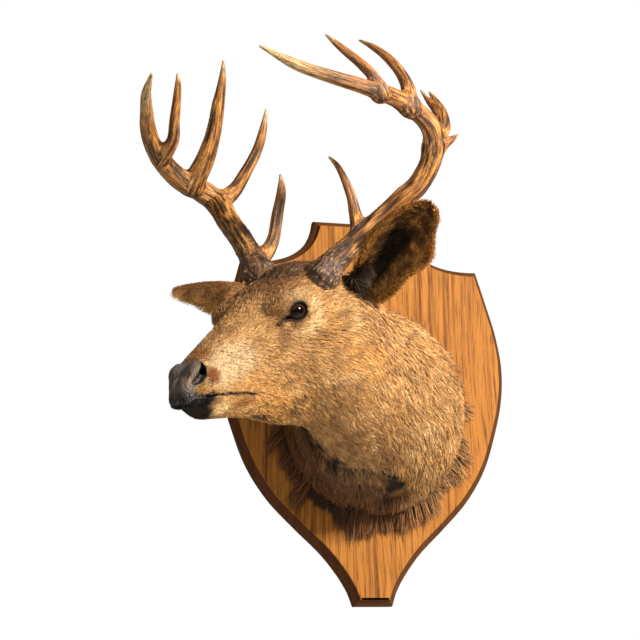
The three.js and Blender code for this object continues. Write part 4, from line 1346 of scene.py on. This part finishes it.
def build_plaque():
    outline = plaque_outline()
    profile = [(0, 1.2), (0.5, 0.4), (1.2, 0), (9.4, 0), (10.2, 0.15), (10.8, 0.7), (12.4, 1.7),
               (14.4, 3.9), (16.2, 6.2), (17.8, 7.9), (19.0, 8.5), (20.4, 8.7), (21.3, 8.9), (21.8, 9.3), (22.0, 10.2)]
    rings = []
    for depth, amount in profile:
        flat = inset(outline, amount)
        rings.append(np.stack([flat[:, 0], np.full(len(flat), -float(depth)), flat[:, 1]], 1))
    sides = len(outline)
    points = np.concatenate(rings)
    i, j = np.meshgrid(np.arange(len(rings) - 1), np.arange(sides), indexing="ij")
    a, b = (i * sides + j).ravel(), (i * sides + (j + 1) % sides).ravel()
    faces = [tuple(int(v) for v in row) for row in np.stack([a, a + sides, b + sides, b], 1)]
    faces.append(tuple(range(sides)))
    faces.append(tuple(reversed(range(len(points) - sides, len(points)))))
    mesh = bpy.data.meshes.new("oak_shield")
    mesh.from_pydata([tuple(p) for p in points * MM], [], faces)
    mesh.validate()
    smooth = np.ones(len(mesh.polygons), bool)
    smooth[-2:] = False
    mesh.polygons.foreach_set("use_smooth", smooth)
    mesh.set_sharp_from_angle(angle=math.radians(28))
    thing = link("oak_shield", mesh)
    depth = -points[:, 1]
    # edge is 1 on the board's sides and bevel, which the oak material darkens as painted shade
    set_value(mesh, "edge", 1 - fade(depth, 19, 21.5))
    mesh.materials.append(oak_material())
    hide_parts("plaque")
    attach(thing, "root")


# ------------------------------------------------------------------ coat


def scatter(points, tris, normals, density):
    """Places on the triangles with their normals, density(middle) to the square millimetre."""
    a, b, c = (points[tris[:, k]] for k in range(3))
    area = np.linalg.norm(np.cross(b - a, c - a), axis=1) / 2
    share = np.cumsum(area * density((a + b + c) / 3))
    count = int(share[-1])
    pick = np.searchsorted(share, (np.arange(count) + RNG.random(count)) * share[-1] / count)
    pick = np.minimum(pick, len(tris) - 1)
    r = np.sqrt(RNG.random(count))[:, None]
    q = RNG.random(count)[:, None]
    weights = np.concatenate([1 - r, r * (1 - q), r * q], 1)
    corner = tris[pick]
    root = (points[corner] * weights[..., None]).sum(1)
    normal = unit((normals[corner] * weights[..., None]).sum(1))
    return root, normal


def clumped(root, way, normal, size, seed):
    """A pull towards the middle of each tuft's lock, and the lock's own random number."""
    cell = np.floor(root / size)
    middle = (cell + 0.5 + 0.5 * (np.stack([hash3(cell, seed + k) for k in range(3)], 1) - 0.5)) * size
    pull = middle - root
    pull = pull - (pull * normal).sum(1, keepdims=True) * normal
    return pull - (pull * way).sum(1, keepdims=True) * way, hash3(cell, seed + 5)


def blades(root, normal, way, length, width, height, pull, tone, uv, levels):
    """Tapering strips that rise from the skin and lie down along way. levels is rows of two points."""
    count = len(root)
    spin = RNG.normal(0, 0.65, count)[:, None]
    side = unit(np.cross(way, normal) * np.cos(spin) + normal * np.sin(spin))
    shares = {2: (0.0, 0.5, 1.0), 3: (0.0, 0.34, 0.7, 1.0)}[levels]
    wide = {2: (0.75, 0.9), 3: (0.7, 1.0, 0.72)}[levels]
    tints = {2: (0.5, 0.94, 1.14), 3: (0.46, 0.82, 1.02, 1.16)}[levels]
    rows, tones, maps = [], [], []
    for k, s in enumerate(shares):
        lift = np.sin(min(1.0, 1.35 * s) * math.pi / 2)
        at = root - 0.5 * normal * (1 - s) + way * (length * s)[:, None] \
            + normal * (height * lift)[:, None] + pull * s * s
        at[:, 1] = np.minimum(at[:, 1], BOARD_FACE - 0.4)
        colour = tone * tints[k]
        if k < levels:
            half = side * (width * wide[k] / 2)[:, None]
            rows += [at - half, at + half]
            tones += [colour, colour]
            maps += [uv + [-0.0015, 0.003 * s - 0.0015], uv + [0.0015, 0.003 * s - 0.0015]]
        else:
            rows.append(at)
            tones.append(colour)
            maps.append(uv + [0, 0.0015])
    each = 2 * levels + 1
    points = np.stack(rows, 1).reshape(-1, 3)
    tris = []
    for k in range(levels - 1):
        tris += [(2 * k, 2 * k + 1, 2 * k + 3), (2 * k, 2 * k + 3, 2 * k + 2)]
    tris.append((2 * levels - 2, 2 * levels - 1, 2 * levels))
    faces = (np.arange(count)[:, None, None] * each + np.array(tris)[None]).reshape(-1, 3)
    return points, faces, np.stack(tones, 1).reshape(-1, 3), np.stack(maps, 1).reshape(-1, 2)


def add_coat(name, material, root, normal, way, length, width, height, pull, tone, uv, levels):
    """One object of tufts, in pieces of under 200,000 triangles side by side on the unwrap."""
    most = 190000 // (2 * levels - 1)
    order = np.argsort(uv[:, 0])
    parts = np.array_split(order, max(1, math.ceil(len(order) / most)))
    for number, part in enumerate(parts):
        low, high = uv[part].min(0), uv[part].max(0)
        fitted = 0.01 + 0.98 * (uv[part] - low) / np.maximum(high - low, 1e-6)
        points, faces, tones, maps = blades(
            root[part], normal[part], way[part], length[part], width[part], height[part],
            pull[part], tone[part], fitted, levels)
        thing = make_mesh(f"{name}_{number + 1}" if len(parts) > 1 else name, points, faces)
        set_colour(thing.data, "coat_tone", tones)
        layer = thing.data.uv_layers.new(name="OFBake")
        layer.data.foreach_set("uv", maps[faces.ravel()].astype(np.float32).ravel())
        thing.data.materials.append(material)
        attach(thing, "root")


def varied(tone, lock, count, spread=0.18):
    """The zone's colour with each lock and each tuft a little different."""
    shade = 1 + 0.34 * (lock - 0.5) + RNG.normal(0, spread, count)
    shade = np.where(RNG.random(count) < 0.09, shade * 0.6, shade)
    shade = np.where(RNG.random(count) < 0.10, shade * 1.22, shade)
    return tone * np.clip(shade, 0.25, 1.6)[:, None]


def style(p, h):
    """Length, width and cover of the tufts by place."""
    f = h[:, 0]
    folded = mirrored(h)
    length = 3.4 + 2.6 * fade(-f, -150, -70) + 3.6 * fade(-f, -50, 30) + 6.5 * fade(-f, 50, 130)
    length = length + 5.0 * fade(-f, 60, 120) * fade(-p[:, 2], 20, 120)
    eye = np.linalg.norm(folded - EYE_CENTRE - 12 * EYE_OUT, axis=1)
    length = length * (0.5 + 0.5 * fade(eye, 16, 34))
    ragged = bell(throat_gap(p), 26.0) + zone(folded, (80, 12, -102), (76, 32, 16), 0.5)
    length = length + 8.0 * ragged
    width = 0.42 + 0.034 * length
    cover = 4.2 + 1.6 * fade(-f, -60, 20) + 1.2 * fade(-f, 60, 130)
    return length, width, cover


def build_body_coat(material, amount):
    body = (skin_tris < body_count).all(1)

    def density(p):
        h = to_head(p)
        length, width, cover = style(p, h)
        folded = mirrored(h)
        depth = body_field(p) + coat_depth(p, h)
        forward, up, out = eye_plane(folded)
        lids = (eye_opening(forward, up) < 2.6) & (out > 0) & (np.hypot(forward, up) < 26)
        burr = np.minimum(np.linalg.norm(h - np.array([-60, 50, 31]), axis=1),
                          np.linalg.norm(h - np.array([-54, -43, 50]), axis=1))
        holes = capsules(folded, NOSTRIL) < 1.5
        shut = (depth < -2.6) | lids | (burr < 18.5) | (bare_mask(h) > 0.5) | holes | (p[:, 1] > -24)
        return np.where(shut, 0, amount * cover / (0.62 * length * width))

    root, normal = scatter(skin_points, skin_tris[body], skin_normals, density)
    h = to_head(root)
    way = lie_of_hair(root, h, normal)
    length, width, _ = style(root, h)
    tone = markings(root, h)
    neck = fade(-h[:, 0], 60, 100) > RNG.random(len(root))
    t, centre, along, side, up = neck_frame(root)
    d = root - centre
    ring = np.arctan2((d * side).sum(1), -(d * up).sum(1)) / (2 * math.pi) + 0.5
    head_ring = np.arctan2(-h[:, 1], -(h[:, 2] + 40)) / (2 * math.pi) + 0.5
    for name, part, levels, lock_size in (("coat_head", ~neck, 2, 4.5), ("coat_neck", neck, 3, 9.0)):
        r, n, w, x = root[part], normal[part], way[part], h[part]
        count = len(r)
        pull, lock = clumped(r, w, n, lock_size, 17)
        depth = coat_depth(r, x)
        stand = 0.25 + 0.85 * RNG.random(count) ** 1.2
        long = length[part] * np.clip(RNG.normal(1, 0.2, count), 0.5, 1.6)
        high = depth * stand * (0.75 + 0.5 * lock)
        high = high + 5.0 * lock * bell(throat_gap(r), 26.0)
        high = np.minimum(high, 0.45 * long)
        wide = width[part] * RNG.uniform(0.7, 1.3, count)
        jitter = 0.16 * RNG.normal(0, 1, (count, 3))
        jitter = jitter - (jitter * n).sum(1, keepdims=True) * n
        spread = np.stack([head_ring[part], x[:, 0] / 340], 1) if levels == 2 \
            else np.stack([ring[part], t[part]], 1)
        add_coat(name, material, r, n, unit(w + jitter), long, wide, high, pull * 0.75,
                 varied(tone[part], lock, count), spread, levels)


def build_ear_coat(name, shape, material, start, size, amount):
    part = ((skin_tris >= start) & (skin_tris < start + size)).all(1)
    _, along, across, out, length = ear_axes(shape)

    def density(p):
        s, x, _ = ear_place(p, shape)
        hidden = body_field(p) < 2.0
        return np.where(hidden | (s < -0.02), 0, amount * (1 + 1.4 * fade(np.abs(x), 0.75, 0.95)))

    root, normal = scatter(skin_points, skin_tris[part], skin_normals, density)
    s, x, _ = ear_place(root, shape)
    inside = fade(normal @ out, -0.1, 0.35)
    rim = fade(np.abs(x), 0.78, 0.97)
    count = len(root)
    splay = 0.35 * x * (1 - inside) - 0.55 * np.sign(x) * inside * (1 - rim) + 0.5 * np.sign(x) * rim * 0.6
    way = np.tile(along, (count, 1)) + across * splay[:, None]
    way = way + 0.3 * out * (inside * rim)[:, None] + 0.14 * RNG.normal(0, 1, (count, 3))
    way = unit(way - (way * normal).sum(1, keepdims=True) * normal)
    long = (2.6 + 6.0 * inside * (1 - rim) * (1 - 0.4 * s) + 1.5 * rim) * (1 - 0.45 * fade(s, 0.8, 1.0))
    long = long * np.clip(RNG.normal(1, 0.22, count), 0.5, 1.6)
    pull, lock = clumped(root, way, normal, 4.5, 29)
    high = (0.8 + 1.6 * RNG.random(count)) * (1 + inside + 0.8 * rim)
    tone = varied(ear_colour(root, normal, shape), lock, count)
    uv = np.stack([0.5 * (x + 1) / 2.1 + 0.5 * (inside > 0.5), s], 1)
    wide = RNG.uniform(0.6, 1.1, count)
    add_coat(name, material, root, normal, way, long, wide, high, pull * 0.6, tone, uv, 2)


FRINGE_BAND = 16


def build_fringe(material, count):
    """Ragged hair where the neck meets the board, lying out over the oak and hanging below."""
    angle = RNG.random(count) * 2 * math.pi
    a, b = NECK_SECTIONS[0][1] - 7.5, NECK_SECTIONS[0][2] - 7.5
    height = RNG.uniform(0, FRINGE_BAND, count)
    centre = neck_point(np.zeros(1))[0]
    radial = unit(np.stack([-np.cos(angle) / a, np.zeros(count), np.sin(angle) / b], 1))
    root = centre + np.stack([-np.cos(angle) * a, np.zeros(count), np.sin(angle) * b], 1)
    root[:, 1] = SKIN_END - height
    normal = unit(radial + np.array([0, -0.6, 0]))
    cell = np.floor(np.stack([angle * 9, np.zeros(count), np.zeros(count)], 1))
    lock, bend = hash3(cell, 77), hash3(cell, 78) - 0.5
    tangent = np.cross(radial, [0, 1.0, 0])
    below = fade(-root[:, 2], -40, 110)
    way = radial * (0.55 + 0.5 * lock)[:, None] + np.array([0, 0.55, 0]) + tangent * bend[:, None] * 0.9
    way = unit(way + np.array([0, 0, -0.75]) + 0.16 * RNG.normal(0, 1, (count, 3)))
    long = (9 + 17 * lock ** 1.5 + 10 * below * lock) * np.clip(RNG.normal(1, 0.22, count), 0.5, 1.7)
    tone = varied(painted(markings(root, to_head(root)), 0.15 + 0.4 * lock, BROWN) * 1.1, lock, count)
    uv = np.stack([angle / (2 * math.pi), height / FRINGE_BAND], 1)
    add_coat("coat_fringe", material, root, normal, way, long, RNG.uniform(0.8, 1.5, count),
             RNG.uniform(1.0, 4.5, count), tangent * (bend * 3)[:, None], tone, uv, 3)


def build_coat():
    material = coat_material()
    amount = 1.0
    build_body_coat(material, amount)
    size = (len(skin_points) - body_count) // 2
    build_ear_coat("coat_ear_left", EAR_LEFT, material, body_count, size, amount)
    build_ear_coat("coat_ear_right", EAR_RIGHT, material, body_count + size, size, amount)
    build_fringe(material, int(9000 * amount))


# ------------------------------------------------------------------ putting it together

set_camera()
set_studio()
skin, body_count, skin_points, skin_tris, skin_normals = build_skin()
bone = antler_material()
for side, beam, tines, pale in (("left", LEFT_BEAM, LEFT_TINES, False),
                                ("right", RIGHT_BEAM, RIGHT_TINES, True)):
    names = sorted(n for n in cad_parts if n.startswith(f"antler_{side}"))
    build_antler(f"rack_{side}", beam, tines, names, pale).data.materials.append(bone)
glass = eye_material()
build_eye("ball_left", 1, glass)
build_eye("ball_right", -1, glass)
build_plaque()
build_coat()
